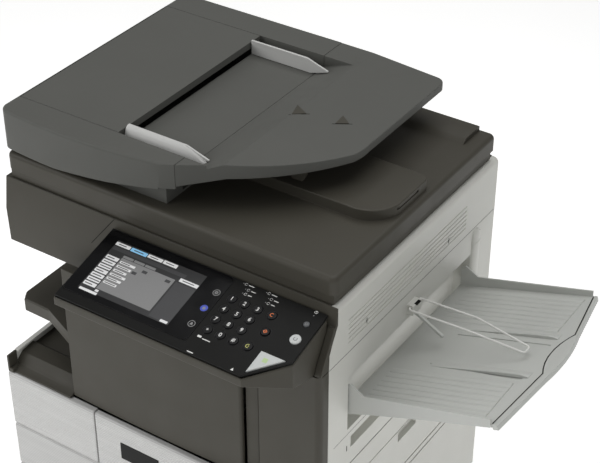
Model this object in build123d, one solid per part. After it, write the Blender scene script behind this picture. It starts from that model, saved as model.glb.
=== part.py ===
from build123d import *
import math
import os

# A3 floor-standing photocopier.  Millimetres, +Z up, -Y is the front, +X is the right-hand side.
# The origin is on the floor, under the middle of the body.

# ---------------------------------------------------------------- driving sizes
BODY_W = 600.0          # body, left cover to right cover
BODY_D = 514.0          # body, cassette fronts to rear cover
WALL = 3.0              # moulded cover wall
SHEET = 3.0             # frame sheet steel
SEAM = 3.0              # gap between neighbouring covers
SLIP = 0.5              # clearance between pieces that slide past each other
TOUCH = 0.2             # clearance between fixed pieces that meet

PLINTH_H = 38.0         # dark skirt at the floor
FOOT_H = 12.0
FOOT_R = 18.0
CASSETTE_FRONT_H = 86.0
CASSETTE_GAP = 3.0
FRONT_COVER_H = 108.0   # striped covers above the cassettes
FRONT_T = 12.0          # thickness of a cassette front
CAVITY_H = 238.0        # paper output space, striped covers to scanner
SCANNER_H = 115.0
SCANNER_SEAM_H = 20.0   # right cover top above the scanner's underside
COVER_H = 45.0          # platen cover
COVER_LIP_H = 16.0      # narrower lower rim of the platen cover

GLASS_W = 440.0
GLASS_D = 310.0
GLASS_T = 3.5

FEEDER_W = 313.0        # feeder housing, left wall to the document tray seam
FEEDER_H = 78.0         # feeder housing above the platen cover
TRAY_REACH = 191.0      # document tray, seam to right edge
FEED_CENTRE_Y = 9.0     # line that the originals are centred on
GUIDE_GAP = 306.0       # between the document guides when fully apart
GUIDE_TRAVEL = 75.0
PAPER_CHANNEL_W = 358.0

PANEL_W = 374.0
PANEL_DEPTH = 140.2     # along the slope
PANEL_T = 4.0
PANEL_TILT = 15.2       # degrees from level
PANEL_RISE = 21.0       # panel housing's underside above the scanner's underside
PANEL_INSET = 13.0      # panel's right edge inside the body's right side
PANEL_CORNER_X = 51.0   # right front corner cut, across
PANEL_CORNER_V = 50.0   # right front corner cut, along the slope
KEY_R = 7.2
KEY_PITCH_X = 21.7
KEY_PITCH_V = 20.0
KEY_CLEAR = 0.4
KEY_PROUD = 1.8
START_KEY_LEG = 39.0
SCREEN_W = 220.0
SCREEN_D = 123.0

EXIT_TRAY_L = 236.0     # side exit tray, level length outside the body
EXIT_TRAY_D = 344.0
EXIT_TRAY_TILT = 17.6   # degrees, rising away from the body
EXIT_RECESS_H = 99.0
WIRE_R = 1.6

# ---------------------------------------------------------------- levels and sides
X_L = -BODY_W / 2
X_R = BODY_W / 2
Y_F = -BODY_D / 2
Y_B = BODY_D / 2
Z_CASSETTE = PLINTH_H + 4.0
Z_CASSETTES = (Z_CASSETTE, Z_CASSETTE + CASSETTE_FRONT_H + CASSETTE_GAP)
Z_COVERS = Z_CASSETTE + 2 * (CASSETTE_FRONT_H + CASSETTE_GAP)
Z_LEDGE = Z_COVERS + FRONT_COVER_H
Z_SCAN = Z_LEDGE + CAVITY_H
Z_SEAM = Z_SCAN + SCANNER_SEAM_H
Z_GLASS = Z_SCAN + SCANNER_H
Z_PLATEN = Z_GLASS + COVER_H
Z_FEED = Z_PLATEN + FEEDER_H

DARK_Y = Y_F + 8.0                  # face of the dark front, behind the striped covers
FRONT_BACK = Y_F + FRONT_T          # back of the cassette fronts
FRAME_FRONT = Y_F + 17.0
FRAME_L = X_L + 10.0
FRAME_R = X_R - 38.0                # right wall of the cassette bay
PATH_R = X_R - 10.0                 # outer posts, right
REAR_PLATE = Y_B - 17.0
PILLAR_X = X_R - 105.0
PILLAR_BACK = Y_F + 30.0
BEZEL_Y = Y_F + 42.0                # front of the scanner
COVER_FRONT = Y_F + 50.5
COVER_BACK = Y_B - 12.0
FEED_L = X_L + 5.0
FEED_SEAM = FEED_L + FEEDER_W
FEED_BACK = Y_B - 14.0
FLOOR_T = 4.0
CHANNEL_Z = Z_FEED - 20.0           # paper channel floor in the feeder
HINGE_Y = Y_B - 7.0
HINGE_Z = Z_GLASS + 9.0
HINGE_X = 200.0
HINGE_PIN_R = 2.5
DOOR_SPLIT_X = X_L + 181.0
DARK_DOOR_L = X_L + 132.0
DARK_DOOR_R = X_R - 138.0
DOOR_T = 10.0
PANEL_RIGHT_X = X_R - PANEL_INSET
PANEL_LEFT_X = PANEL_RIGHT_X - PANEL_W


# ---------------------------------------------------------------- shape helpers
def block(x0, x1, y0, y1, z0, z1):
    """Box between two corners."""
    return Pos((x0 + x1) / 2, (y0 + y1) / 2, (z0 + z1) / 2) * Box(x1 - x0, y1 - y0, z1 - z0)


def prism(points, axis, start, end):
    """Polygon drawn in the two other axes, run along axis from start to end."""
    if axis == "x":
        corners = [(start, a, b) for a, b in points]
        way = (1, 0, 0)
    elif axis == "y":
        corners = [(a, start, b) for a, b in points]
        way = (0, 1, 0)
    else:
        corners = [(a, b, start) for a, b in points]
        way = (0, 0, 1)
    return extrude(Face(Wire.make_polygon(corners)), amount=end - start, dir=way)


def rod(axis, start, end, a, b, radius):
    """Round bar along an axis; a and b are its place in the two other axes."""
    length = end - start
    middle = (start + end) / 2
    if axis == "x":
        return Pos(middle, a, b) * Rot(0, 90, 0) * Cylinder(radius, length)
    if axis == "y":
        return Pos(a, middle, b) * Rot(90, 0, 0) * Cylinder(radius, length)
    return Pos(a, b, middle) * Cylinder(radius, length)


def plan_curve(points, z0, z1):
    """Solid whose plan is a closed smooth-and-straight outline.

    Each item is one edge: a list of two points is straight, of three is an arc through them.
    """
    edges = []
    for item in points:
        if len(item) == 2:
            edges.append(Edge.make_line((*item[0], z0), (*item[1], z0)))
        else:
            edges.append(Edge.make_three_point_arc(*[(*p, z0) for p in item]))
    return extrude(Face(Wire(edges)), amount=z1 - z0, dir=(0, 0, 1))


def upright(shape, x, y, near=2.0):
    """Vertical edges of a shape close to one place in plan."""
    found = []
    for edge in shape.edges().filter_by(Axis.Z):
        centre = edge.center()
        if abs(centre.X - x) < near and abs(centre.Y - y) < near:
            found.append(edge)
    return found


def level(shape, z, axis=None, y=None, x=None, near=0.6):
    """Level edges of a shape at one height, with an optional direction and place."""
    found = []
    for edge in shape.edges():
        box = edge.bounding_box()
        if box.max.Z - box.min.Z > near or abs(box.max.Z - z) > near:
            continue
        if axis == "x" and box.max.Y - box.min.Y > near:
            continue
        if axis == "y" and box.max.X - box.min.X > near:
            continue
        if y is not None and abs(edge.center().Y - y) > near:
            continue
        if x is not None and abs(edge.center().X - x) > near:
            continue
        found.append(edge)
    return found


def grid(count, pitch, middle=0.0):
    """Evenly spaced places about a middle."""
    return [middle + (i - (count - 1) / 2) * pitch for i in range(count)]


# ---------------------------------------------------------------- base and frame
def plinth():
    inset_x = 3.0
    inset_y = 5.0
    body = block(X_L + inset_x, X_R - inset_x, Y_F + inset_y, Y_B - inset_y, 0, PLINTH_H)
    inner = block(X_L + inset_x + WALL, X_R - inset_x - WALL, Y_F + inset_y + WALL, Y_B - inset_y - WALL,
                  -1, PLINTH_H + 1)
    return body - inner


def feet():
    solids = []
    for x in (X_L + 50.0, X_R - 50.0):
        for y in (Y_F + 52.0, Y_B - 52.0):
            pad = rod("z", 0, FOOT_H, x, y, FOOT_R)
            solids.append(chamfer(level(pad, FOOT_H), 2.0))
    return Compound(children=[s.solid() for s in solids])


RAIL_DROP = 27.0        # rail below a cassette front's top
RAIL_W = 15.0


def base_frame():
    z0 = FOOT_H
    frame = block(FRAME_L, PATH_R, FRAME_FRONT, REAR_PLATE + SHEET, z0, z0 + SHEET + 1)
    frame += block(FRAME_L, FRAME_L + SHEET, FRAME_FRONT, REAR_PLATE, z0, Z_LEDGE - 4)
    frame += block(FRAME_R, FRAME_R + SHEET, FRAME_FRONT, REAR_PLATE, z0, Z_COVERS + 2)
    frame += block(FRAME_L, PATH_R, REAR_PLATE, REAR_PLATE + SHEET, z0, Z_SCAN - 6)
    frame += block(FRAME_L, FRAME_R, FRAME_FRONT + 2, REAR_PLATE, Z_COVERS - 1, Z_COVERS + 2)
    frame += block(X_R - 34.0, PATH_R - 6, BEZEL_Y + 1, BEZEL_Y + 24, z0, Z_SCAN)
    frame += block(X_R - 34.0, PATH_R, REAR_PLATE - 26, REAR_PLATE + SHEET, z0, Z_SCAN)
    frame += block(FRAME_L, FRAME_L + 26, REAR_PLATE - 26, REAR_PLATE + SHEET, z0, Z_SCAN)
    for z in Z_CASSETTES:
        top = z + CASSETTE_FRONT_H - RAIL_DROP
        frame += block(FRAME_L, FRAME_L + SHEET + RAIL_W, FRAME_FRONT, REAR_PLATE - 30, top - 3, top)
        frame += block(FRAME_R - RAIL_W, FRAME_R, FRAME_FRONT, REAR_PLATE - 30, top - 3, top)
    return frame


# ---------------------------------------------------------------- outer covers
RIM_H = 34.0            # left cover's rim above the striped covers
COLUMN_D = 46.0         # rear left column
CORNER_PIECE_D = 21.0   # dark piece at the front left corner


def left_cover():
    z0 = PLINTH_H + 1
    rim = Z_LEDGE + RIM_H
    column_front = Y_B - COLUMN_D
    wall = block(X_L, X_L + WALL, FRONT_BACK + 1, Y_B, z0, Z_LEDGE)
    wall += block(X_L, X_L + WALL, Y_F + CORNER_PIECE_D, Y_B, z0, rim)
    wall += block(X_L, X_L + 8, Y_F + CORNER_PIECE_D, column_front + WALL, rim - WALL, rim)
    wall += block(X_L, X_L + WALL, column_front, Y_B, rim - 2, Z_SCAN - 1)
    wall += block(X_L, X_L + 45, column_front, column_front + WALL, rim - WALL, Z_SCAN - 1)
    wall += block(X_L + 42, X_L + 45, column_front, REAR_PLATE - TOUCH, rim - WALL, Z_SCAN - 1)
    return wall


SIDE_DOOR_FRONT = Y_F + 35.0
SIDE_DOOR_BACK = Y_B - 49.0
SIDE_DOOR_Z0 = Z_COVERS + 2.0
SIDE_DOOR_H = 144.0
EXIT_RECESS_FRONT = Y_F + 82.0
EXIT_RECESS_BACK = Y_B - 73.0
EXIT_RECESS_Z0 = Z_LEDGE + 112.0
EXIT_RECESS_DEPTH = 29.0
EXIT_RECESS_FALL = 19.5
POCKET_Z0 = Z_LEDGE + 71.0
POCKET_H = 21.0
EXIT_SLOT_H = 14.0
WIRE_X = X_R + 6.0
WIRE_Z = Z_SCAN - 3.0
WIRE_MID_Y = -3.0
WIRE_HALF = 17.0
WIRE_BLOCK_HALF = 12.0


def right_cover():
    z0 = PLINTH_H + 1
    deep = X_R - EXIT_RECESS_DEPTH
    top = EXIT_RECESS_Z0 + EXIT_RECESS_H
    cover = block(X_R - WALL, X_R, FRONT_BACK + 1, Y_B, z0, Z_LEDGE)
    cover += block(X_R - WALL, X_R, PILLAR_BACK + SLIP, Y_B, z0, Z_SEAM - TOUCH)
    lining = prism([(X_R - 1, top + WALL), (deep - WALL, top + WALL - EXIT_RECESS_FALL),
                    (deep - WALL, EXIT_RECESS_Z0 - WALL), (X_R - 1, EXIT_RECESS_Z0 - WALL)],
                   "y", EXIT_RECESS_FRONT - WALL, EXIT_RECESS_BACK + WALL)
    hollow = prism([(X_R + 1, top), (deep, top - EXIT_RECESS_FALL), (deep, EXIT_RECESS_Z0),
                    (X_R + 1, EXIT_RECESS_Z0)], "y", EXIT_RECESS_FRONT, EXIT_RECESS_BACK)
    cover += lining
    pocket = block(X_R - 17, X_R - 1, SIDE_DOOR_FRONT + 57 - WALL, SIDE_DOOR_BACK - 24 + WALL,
                   POCKET_Z0 - WALL, POCKET_Z0 + POCKET_H + WALL)
    cover += pocket
    cover -= hollow
    cover -= block(X_R - 14, X_R + 1, SIDE_DOOR_FRONT + 57, SIDE_DOOR_BACK - 24,
                   POCKET_Z0, POCKET_Z0 + POCKET_H)
    slot_top = top - EXIT_RECESS_FALL - 4
    cover -= block(deep - 2 * WALL, deep + 1, EXIT_RECESS_FRONT + 18, EXIT_RECESS_BACK - 18,
                   slot_top - EXIT_SLOT_H, slot_top)
    cover -= block(X_R - 2 * WALL, X_R + 1, SIDE_DOOR_FRONT, SIDE_DOOR_BACK, Z_COVERS + 0.5,
                   SIDE_DOOR_Z0 + SIDE_DOOR_H + 1.5)
    bracket = block(X_R - 1, X_R + 11, WIRE_MID_Y - WIRE_BLOCK_HALF, WIRE_MID_Y + WIRE_BLOCK_HALF,
                    WIRE_Z - 14, WIRE_Z + 4)
    cover += bracket
    cover -= rod("y", WIRE_MID_Y - 30, WIRE_MID_Y + 30, WIRE_X, WIRE_Z, WIRE_R + 0.35)
    return cover


VENT_PITCH = 11.0
INLET_X = X_L + 75.0
INLET_Z = 95.0


def rear_cover():
    z0 = PLINTH_H + 1
    inset = WALL + TOUCH
    cover = block(X_L + inset, X_R - inset, Y_B - WALL, Y_B, z0, Z_SCAN - 1)
    for x in (X_L + 150, X_R - 150):
        for z in grid(9, VENT_PITCH, Z_LEDGE + 110):
            cover -= block(x - 60, x + 60, Y_B - WALL - 1, Y_B + 1, z - 2.5, z + 2.5)
    cover -= block(INLET_X - 15, INLET_X + 15, Y_B - WALL - 1, Y_B + 1, INLET_Z - 12, INLET_Z + 12)
    cup = block(INLET_X - 17, INLET_X + 17, Y_B - 13, Y_B - WALL, INLET_Z - 14, INLET_Z + 14)
    cup -= block(INLET_X - 15, INLET_X + 15, Y_B - 11, Y_B, INLET_Z - 12, INLET_Z + 12)
    cover += cup
    for x in (-6.0, 0.0, 6.0):
        cover += block(INLET_X + x - 1, INLET_X + x + 1, Y_B - 12, Y_B - 4, INLET_Z - 3, INLET_Z + 3)
    return cover


def front_left_cover():
    right = DOOR_SPLIT_X - SEAM / 2
    outer = block(X_L, right, Y_F, FRONT_BACK, Z_COVERS, Z_LEDGE)
    outer = fillet(level(outer, Z_LEDGE, "x", y=Y_F), 4.0)
    hollow = block(X_L + WALL, right - WALL, Y_F + WALL, FRONT_BACK + 1, Z_COVERS + WALL, Z_LEDGE - WALL)
    return outer - hollow


def pillar_cover():
    z0 = Z_LEDGE + SEAM
    top = Z_SCAN + PANEL_RISE - 1
    outer = block(PILLAR_X, X_R, DARK_Y, PILLAR_BACK, z0, top)
    outer = fillet(upright(outer, X_R, DARK_Y), 10.0)
    hollow = block(PILLAR_X + WALL, X_R - WALL, DARK_Y + WALL + 4, PILLAR_BACK + 1, z0 - 1, top - WALL)
    cover = outer - hollow
    cover += block(DARK_DOOR_R + 3, PILLAR_X + 1, DARK_Y + 16, DARK_Y + 16 + WALL, z0, top)
    return cover + block(DARK_DOOR_R + 3, PILLAR_X - 8, DARK_Y + 11, DARK_Y + 17, z0, top)


# ---------------------------------------------------------------- output space
CAVITY_BACK = Y_B - COLUMN_D - 1
EXIT_END_X = X_R - 172.0
EXIT_RISE = 60.0


def inner_exit_tray():
    floor_z = Z_LEDGE + 20.0
    x0 = X_L + WALL + TOUCH
    line = [(x0, floor_z), (x0 + 118, floor_z + 2), (EXIT_END_X, floor_z + EXIT_RISE)]
    under = [(x, z - FLOOR_T) for x, z in reversed(line)]
    tray = prism(line + under, "y", Y_F + 60, CAVITY_BACK)
    ramp = [(Y_F + 4, Z_LEDGE + 1), (Y_F + 5, Z_LEDGE + 3), (Y_F + 17, Z_LEDGE + 8), (Y_F + 21, Z_LEDGE + 13),
            (Y_F + 33, floor_z + 3), (Y_F + 60, floor_z + 6), (Y_F + 66, floor_z), (Y_F + 66, Z_LEDGE + 1)]
    tray += prism(ramp, "x", x0, DARK_DOOR_L - SEAM)
    tray += block(X_L, x0 + 1, Y_F + 1, Y_F + CORNER_PIECE_D - TOUCH, Z_LEDGE + 1, Z_LEDGE + RIM_H - 1)
    tray += block(X_L, X_L + 11, Y_F + 1, Y_F + CORNER_PIECE_D - TOUCH, Z_LEDGE + 1, Z_LEDGE + 9)
    wall_x = DARK_DOOR_L - SEAM
    wall = [(wall_x, Z_LEDGE + 1), (wall_x, floor_z + 3), (EXIT_END_X, floor_z + EXIT_RISE),
            (EXIT_END_X, Z_LEDGE + 1)]
    tray += prism(wall, "y", Y_F + 60, Y_F + 63)
    return tray


SEPARATOR_TOP = Z_LEDGE + 124.0
SEPARATOR_H = 24.0


def separator_tray():
    front = Y_F + 47.0
    near = Y_F + 12.0
    outline = [(X_L, front + 14), (X_L + 9, front), (X_L + 62, front - 1), (DARK_DOOR_L - 4, near + 6),
               (DARK_DOOR_L + 10, near + 12), (EXIT_END_X, near + 12), (EXIT_END_X, CAVITY_BACK),
               (X_L, CAVITY_BACK)]
    z0 = SEPARATOR_TOP - SEPARATOR_H
    tray = prism(outline, "z", z0, SEPARATOR_TOP)
    inset = [(x + (5 if x < X_L + 70 else 3 if x < DARK_DOOR_L else -3), y + (5 if y < 0 else -4))
             for x, y in outline]
    tray -= prism(inset, "z", z0 - 1, SEPARATOR_TOP - 5)
    return chamfer(level(tray, SEPARATOR_TOP, y=front, near=8.0), 2.0)


def fuser_unit():
    y0 = Y_F + 50
    y1 = Y_B - 60
    left = EXIT_END_X + 42
    unit = block(left, FRAME_R - 2, y0, y1, Z_LEDGE + 92, Z_LEDGE + 170)
    unit -= block(left - 1, left + 32, y0 + 8, y1 - 8, Z_LEDGE + 108, Z_LEDGE + 154)
    for z in (Z_LEDGE + 120, Z_LEDGE + 142):
        unit += rod("y", y0 + 4, y1 - 4, left + 16, z, 10.4)
    return unit


def drum_unit():
    y0 = Y_F + 30
    y1 = Y_B - 60
    x = FRAME_R - 75
    unit = block(x - 45, x + 55, y0, y1, Z_COVERS + 10, Z_COVERS + 44)
    unit += rod("y", y0 + 6, y1 - 6, x, Z_COVERS + 60, 15.0)
    for y in (y0, y1 - 8):
        unit += block(x - 20, x + 20, y, y + 8, Z_COVERS + 40, Z_COVERS + 78)
    unit += block(x - 40, x - 30, y0 - 4, y0, Z_COVERS + 16, Z_COVERS + 38)
    return unit


def toner_cartridge():
    y0 = Y_F + 30
    x = DOOR_SPLIT_X + 120
    z = Z_COVERS + 42
    bottle = rod("y", y0, Y_B - 110, x, z, 32.0)
    bottle += rod("y", y0 - 5, y0, x, z, 24.0)
    bottle += block(x - 4, x + 4, y0 - 9, y0 - 5, z - 20, z + 20)
    for i in range(5):
        bottle += rod("y", y0 + 40 + 50 * i, y0 + 44 + 50 * i, x, z, 33.5)
    return bottle


# ---------------------------------------------------------------- scanner
SIDE_COVER_W = 11.5
TUB_R = X_R - SIDE_COVER_W - TOUCH
GLASS_X0 = X_L + 60.0
GLASS_Y0 = COVER_FRONT + 50.0


def scanner_tub():
    y0 = BEZEL_Y + 10
    tub = block(X_L, TUB_R, y0, Y_B, Z_SCAN, Z_GLASS)
    tub -= block(X_L + WALL, TUB_R - WALL, y0 + WALL, Y_B - WALL, Z_SCAN + WALL, Z_GLASS - GLASS_T - 3)
    x1 = GLASS_X0 + GLASS_W
    y1 = GLASS_Y0 + GLASS_D
    tub -= block(GLASS_X0 - TOUCH, x1 + TOUCH, GLASS_Y0 - TOUCH, y1 + TOUCH, Z_GLASS - GLASS_T, Z_GLASS + 1)
    tub -= block(GLASS_X0 + 5, x1 - 5, GLASS_Y0 + 5, y1 - 5, Z_GLASS - GLASS_T - 9, Z_GLASS)
    return tub


def scan_glass():
    return block(GLASS_X0, GLASS_X0 + GLASS_W, GLASS_Y0, GLASS_Y0 + GLASS_D, Z_GLASS - GLASS_T, Z_GLASS)


CARRIAGE_W = 34.0


def scan_carriage():
    x0 = X_L + 14
    y0 = GLASS_Y0 - 12
    y1 = GLASS_Y0 + GLASS_D + 12
    z0 = Z_SCAN + 26
    car = block(x0, x0 + CARRIAGE_W, y0, y1, z0, z0 + 46)
    car -= block(x0 + 10, x0 + 24, y0 + 12, y1 - 12, z0 + 14, z0 + 50)
    car += rod("y", y0 + 4, y1 - 4, x0 + 17, z0 + 30, 4.0)
    return car


BEZEL_CREASE = 61.0
BEZEL_LEAN = 8.5


FLARE_H = 66.0          # height of the flare that joins the scanner's right end to the pillar
CHEEK_FACE = [(DARK_Y + 1, Z_SEAM + 1), (DARK_Y + 3, Z_SEAM + 8), (DARK_Y + 9, Z_SEAM + 20),
              (DARK_Y + 16, Z_SEAM + 32), (DARK_Y + 25, Z_SEAM + 48), (BEZEL_Y + 0.5, Z_SEAM + FLARE_H)]


def flare_edge(gap):
    """Front edge of the white side cover where it flares, moved forward by a gap."""
    return [(BEZEL_Y + 10 - gap, Z_SEAM + FLARE_H), (BEZEL_Y - 2.5 - gap, Z_SEAM + 44),
            (BEZEL_Y - 10.5 - gap, Z_SEAM + 26), (BEZEL_Y - 11.5 - gap, Z_SEAM)]


def scanner_bezel():
    z_mid = Z_SCAN + BEZEL_CREASE
    outer = [(BEZEL_Y + 2, Z_SCAN), (BEZEL_Y, z_mid), (BEZEL_Y + BEZEL_LEAN, Z_GLASS)]
    inner = [(BEZEL_Y + BEZEL_LEAN + 1.3, Z_GLASS), (BEZEL_Y + WALL, z_mid), (BEZEL_Y + 2 + WALL, Z_SCAN)]
    bezel = prism(outer + inner, "x", X_L, X_R)
    back = BEZEL_Y + 10 - TOUCH
    for x0, x1 in ((X_L, X_L + WALL), (X_R - WALL, X_R)):
        cap = [(BEZEL_Y + 2.5, Z_SCAN), (BEZEL_Y + 0.5, z_mid), (BEZEL_Y + BEZEL_LEAN, Z_GLASS),
               (back, Z_GLASS), (back, Z_SCAN)]
        bezel += prism(cap, "x", x0, x1)
    bezel -= block(X_R - 14, X_R + 1, BEZEL_Y - 5, BEZEL_Y + 20, Z_SCAN - 1, Z_SEAM)
    clear = flare_edge(TOUCH) + [(BEZEL_Y + 15, Z_SEAM), (BEZEL_Y + 15, Z_SEAM + FLARE_H)]
    bezel -= prism(clear, "x", X_R - 11 - TOUCH, X_R + 1)
    inner_edge = flare_edge(TOUCH)[:3] + [(BEZEL_Y - 11.5 - TOUCH, Z_SEAM + 1)]
    return bezel + prism(CHEEK_FACE + inner_edge, "x", X_R - 11, X_R)


SIDE_GROOVES = 6
GROOVE_PITCH = 8.0


def scanner_side_cover():
    front = BEZEL_Y + 10
    x0 = X_R - SIDE_COVER_W
    outer = block(x0, X_R, front, Y_B, Z_SEAM, Z_GLASS - 1)
    outer = fillet(level(outer, Z_GLASS - 1, "y", x=X_R), 9.0)
    outer -= block(x0 - 1, X_R - WALL, front + WALL, Y_B - WALL, Z_SEAM + WALL, Z_GLASS - 13)
    edge = flare_edge(0.0) + [(front + 1, Z_SEAM), (front + 1, Z_SEAM + FLARE_H)]
    outer += prism(edge, "x", X_R - 11, X_R)
    for z in grid(SIDE_GROOVES, GROOVE_PITCH, Z_SEAM + 37):
        outer -= block(X_R - 1.2, X_R + 1, Y_F + 80, Y_B - 97, z - 1.1, z + 1.1)
    return outer


# ---------------------------------------------------------------- control panel
def on_panel(shape):
    """Move a shape drawn on the level panel to the panel's slope.

    Drawn with x as in the body, y from the panel's back edge (negative to the front), z from its face.
    """
    return Pos(0, BEZEL_Y + 4.3, Z_GLASS - 12.8) * Rot(PANEL_TILT, 0, 0) * shape


SCREEN_X0 = PANEL_LEFT_X + 1.5
KEYPAD_X0 = PANEL_LEFT_X + 238.2
KEYPAD_V0 = -35.2


def panel_outline(inset=0.0):
    right = PANEL_RIGHT_X - inset
    left = PANEL_LEFT_X + inset
    front = -PANEL_DEPTH + inset
    back = -0.6 - inset
    return [(left, front), (right - PANEL_CORNER_X, front), (right, front + PANEL_CORNER_V),
            (right, back), (left, back)]


def round_keys():
    """Every round key: name, x, place along the slope, radius."""
    names = ("key_1", "key_2", "key_3", "key_4", "key_5", "key_6", "key_7", "key_8", "key_9",
             "key_star", "key_0", "key_hash")
    keys = []
    for i, name in enumerate(names):
        column = i % 3
        row = i // 3
        keys.append((name, KEYPAD_X0 + column * KEY_PITCH_X, KEYPAD_V0 - row * KEY_PITCH_V, KEY_R))
    side_x = KEYPAD_X0 + 2 * KEY_PITCH_X
    keys.append(("key_clear", side_x + 23.6, KEYPAD_V0, KEY_R))
    keys.append(("key_stop", side_x + 31.0, KEYPAD_V0 - 28, KEY_R - 0.6))
    keys.append(("key_clear_all", side_x + 23.4, KEYPAD_V0 - 59.4, KEY_R))
    keys.append(("key_power_save", PANEL_RIGHT_X - 17.5, KEYPAD_V0 + 8, 4.6))
    keys.append(("key_power", PANEL_RIGHT_X - 17.2, KEYPAD_V0 - 20.5, 8.2))
    return keys


def start_key_outline(grow=0.0):
    corner_x = PANEL_RIGHT_X - PANEL_CORNER_X
    x0 = corner_x + 3.2 - grow
    v1 = -PANEL_DEPTH + PANEL_CORNER_V - 2.6 + grow
    reach = START_KEY_LEG + (2 + math.sqrt(2)) * grow
    return [(x0, v1), (x0 + reach, v1), (x0, v1 - reach)]


def panel_face():
    face = prism(panel_outline(), "z", -PANEL_T, 0)
    face -= block(SCREEN_X0 - TOUCH, SCREEN_X0 + SCREEN_W + TOUCH, -2 - SCREEN_D - TOUCH, -2 + TOUCH, -1.5, 1)
    for _, x, v, radius in round_keys():
        face -= rod("z", -PANEL_T - 1, 1, x, v, radius + KEY_CLEAR)
    face -= prism(start_key_outline(KEY_CLEAR), "z", -PANEL_T - 1, 1)
    return on_panel(face)


def touchscreen():
    slab = block(SCREEN_X0, SCREEN_X0 + SCREEN_W, -2 - SCREEN_D, -2, -1.5, 0.5)
    return on_panel(slab)


def panel_housing():
    under_z = Z_SCAN + PANEL_RISE
    tilt = math.radians(PANEL_TILT)
    back_y = BEZEL_Y + 4.3
    back_z = Z_GLASS - 12.8
    drop = PANEL_T / math.cos(tilt)

    def under_face(y):
        return back_z + (y - back_y) * math.tan(tilt) - drop - TOUCH

    front_y = back_y - PANEL_DEPTH * math.cos(tilt) - 1.5
    rear_y = BEZEL_Y - TOUCH
    nose = 13.0
    profile = [(front_y, under_face(front_y)), (front_y, under_face(front_y) - nose), (DARK_Y - 6, under_z),
               (rear_y, under_z), (rear_y, under_face(rear_y))]
    left = PANEL_LEFT_X - 1.5
    right = PANEL_RIGHT_X + 1.5
    body = prism(profile, "x", left, right)
    corner = [(right - PANEL_CORNER_X, front_y - 1), (right + 1, front_y + PANEL_CORNER_V),
              (right + 1, front_y - 1)]
    body -= prism(corner, "z", under_z - 1, Z_GLASS)
    inner = [(front_y + WALL, under_face(front_y) + 5), (front_y + WALL, under_face(front_y) - nose + 4),
             (DARK_Y - 5, under_z + WALL), (rear_y - WALL, under_z + WALL), (rear_y - WALL, Z_GLASS)]
    hollow = prism(inner, "x", left + WALL, right - WALL)
    cut = [(right - PANEL_CORNER_X - 5, front_y - 1), (right + 1, front_y + PANEL_CORNER_V + 6),
           (right + 1, front_y - 1)]
    hollow -= prism(cut, "z", under_z - 1, Z_GLASS + 1)
    return body - hollow


def round_key(x, v, radius):
    cap = rod("z", -PANEL_T - 0.4, KEY_PROUD, x, v, radius)
    return on_panel(fillet(level(cap, KEY_PROUD), 1.2))


def start_key():
    cap = prism(start_key_outline(), "z", -PANEL_T - 0.4, KEY_PROUD + 0.6)
    return on_panel(chamfer(level(cap, KEY_PROUD + 0.6), 0.8))


# ---------------------------------------------------------------- platen cover and feeder
EXIT_PLATE_H = 18.0
EXIT_SLOT_Z = Z_PLATEN + 9.0
EXTENSION_T = 3.0


def platen_cover():
    inset = 5.0
    lip = Z_GLASS + COVER_LIP_H
    cover = block(X_L + inset, X_R - inset, COVER_FRONT, COVER_BACK, lip, Z_PLATEN)
    for x in (X_L + inset, X_R - inset):
        cover = fillet(upright(cover, x, COVER_FRONT), 12.0)
    cover = fillet(level(cover, Z_PLATEN, "x", y=COVER_FRONT), 8.0)
    cover += block(X_L + inset + 4, X_R - inset - 4, COVER_FRONT + 4, COVER_BACK - 0.5, Z_GLASS + TOUCH, lip)
    cover -= block(X_L + inset + 9, X_R - inset - 9, COVER_FRONT + 9, COVER_BACK - 9, Z_GLASS - 1, Z_PLATEN - 4)
    band_y = COVER_BACK - 55
    cover += prism([(band_y, Z_PLATEN - 1), (band_y + 10, Z_PLATEN + 8), (COVER_BACK - 2, Z_PLATEN + 8),
                    (COVER_BACK - 2, Z_PLATEN - 1)], "x", FEED_SEAM + SEAM, X_R - inset - 25)
    top = Z_PLATEN + EXIT_PLATE_H
    right = X_R - 15.0
    plate = plan_curve([[(FEED_SEAM + 20, FEED_CENTRE_Y - 76), (right - 60, FEED_CENTRE_Y - 76)],
                        [(right - 60, FEED_CENTRE_Y - 76), (right - 14, FEED_CENTRE_Y - 60),
                         (right, FEED_CENTRE_Y - 30)],
                        [(right, FEED_CENTRE_Y - 30), (right, FEED_CENTRE_Y + 40)],
                        [(right, FEED_CENTRE_Y + 40), (right - 4, FEED_CENTRE_Y + 51),
                         (right - 14, FEED_CENTRE_Y + 55)],
                        [(right - 14, FEED_CENTRE_Y + 55), (FEED_SEAM + 20, FEED_CENTRE_Y + 55)],
                        [(FEED_SEAM + 20, FEED_CENTRE_Y + 55), (FEED_SEAM + 20, FEED_CENTRE_Y - 76)]],
                       Z_PLATEN - 1, top)
    plate = fillet(level(plate, top), 2.0)
    cover += plate
    return cover - block(right - 95, right + 1, FEED_CENTRE_Y - 36, FEED_CENTRE_Y + 22, EXIT_SLOT_Z,
                         EXIT_SLOT_Z + EXTENSION_T + 2 * SLIP)


def exit_extension():
    right = X_R - 16.0
    plate = block(right - 90, right, FEED_CENTRE_Y - 35, FEED_CENTRE_Y + 21, EXIT_SLOT_Z + SLIP,
                  EXIT_SLOT_Z + SLIP + EXTENSION_T)
    return fillet(upright(plate, right, FEED_CENTRE_Y - 35) + upright(plate, right, FEED_CENTRE_Y + 21), 6.0)


def platen_pad():
    margin = 6.0
    return block(GLASS_X0 - margin, GLASS_X0 + GLASS_W + margin, GLASS_Y0 - margin, GLASS_Y0 + GLASS_D + margin,
                 Z_GLASS + 1, Z_PLATEN - 4)


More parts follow.
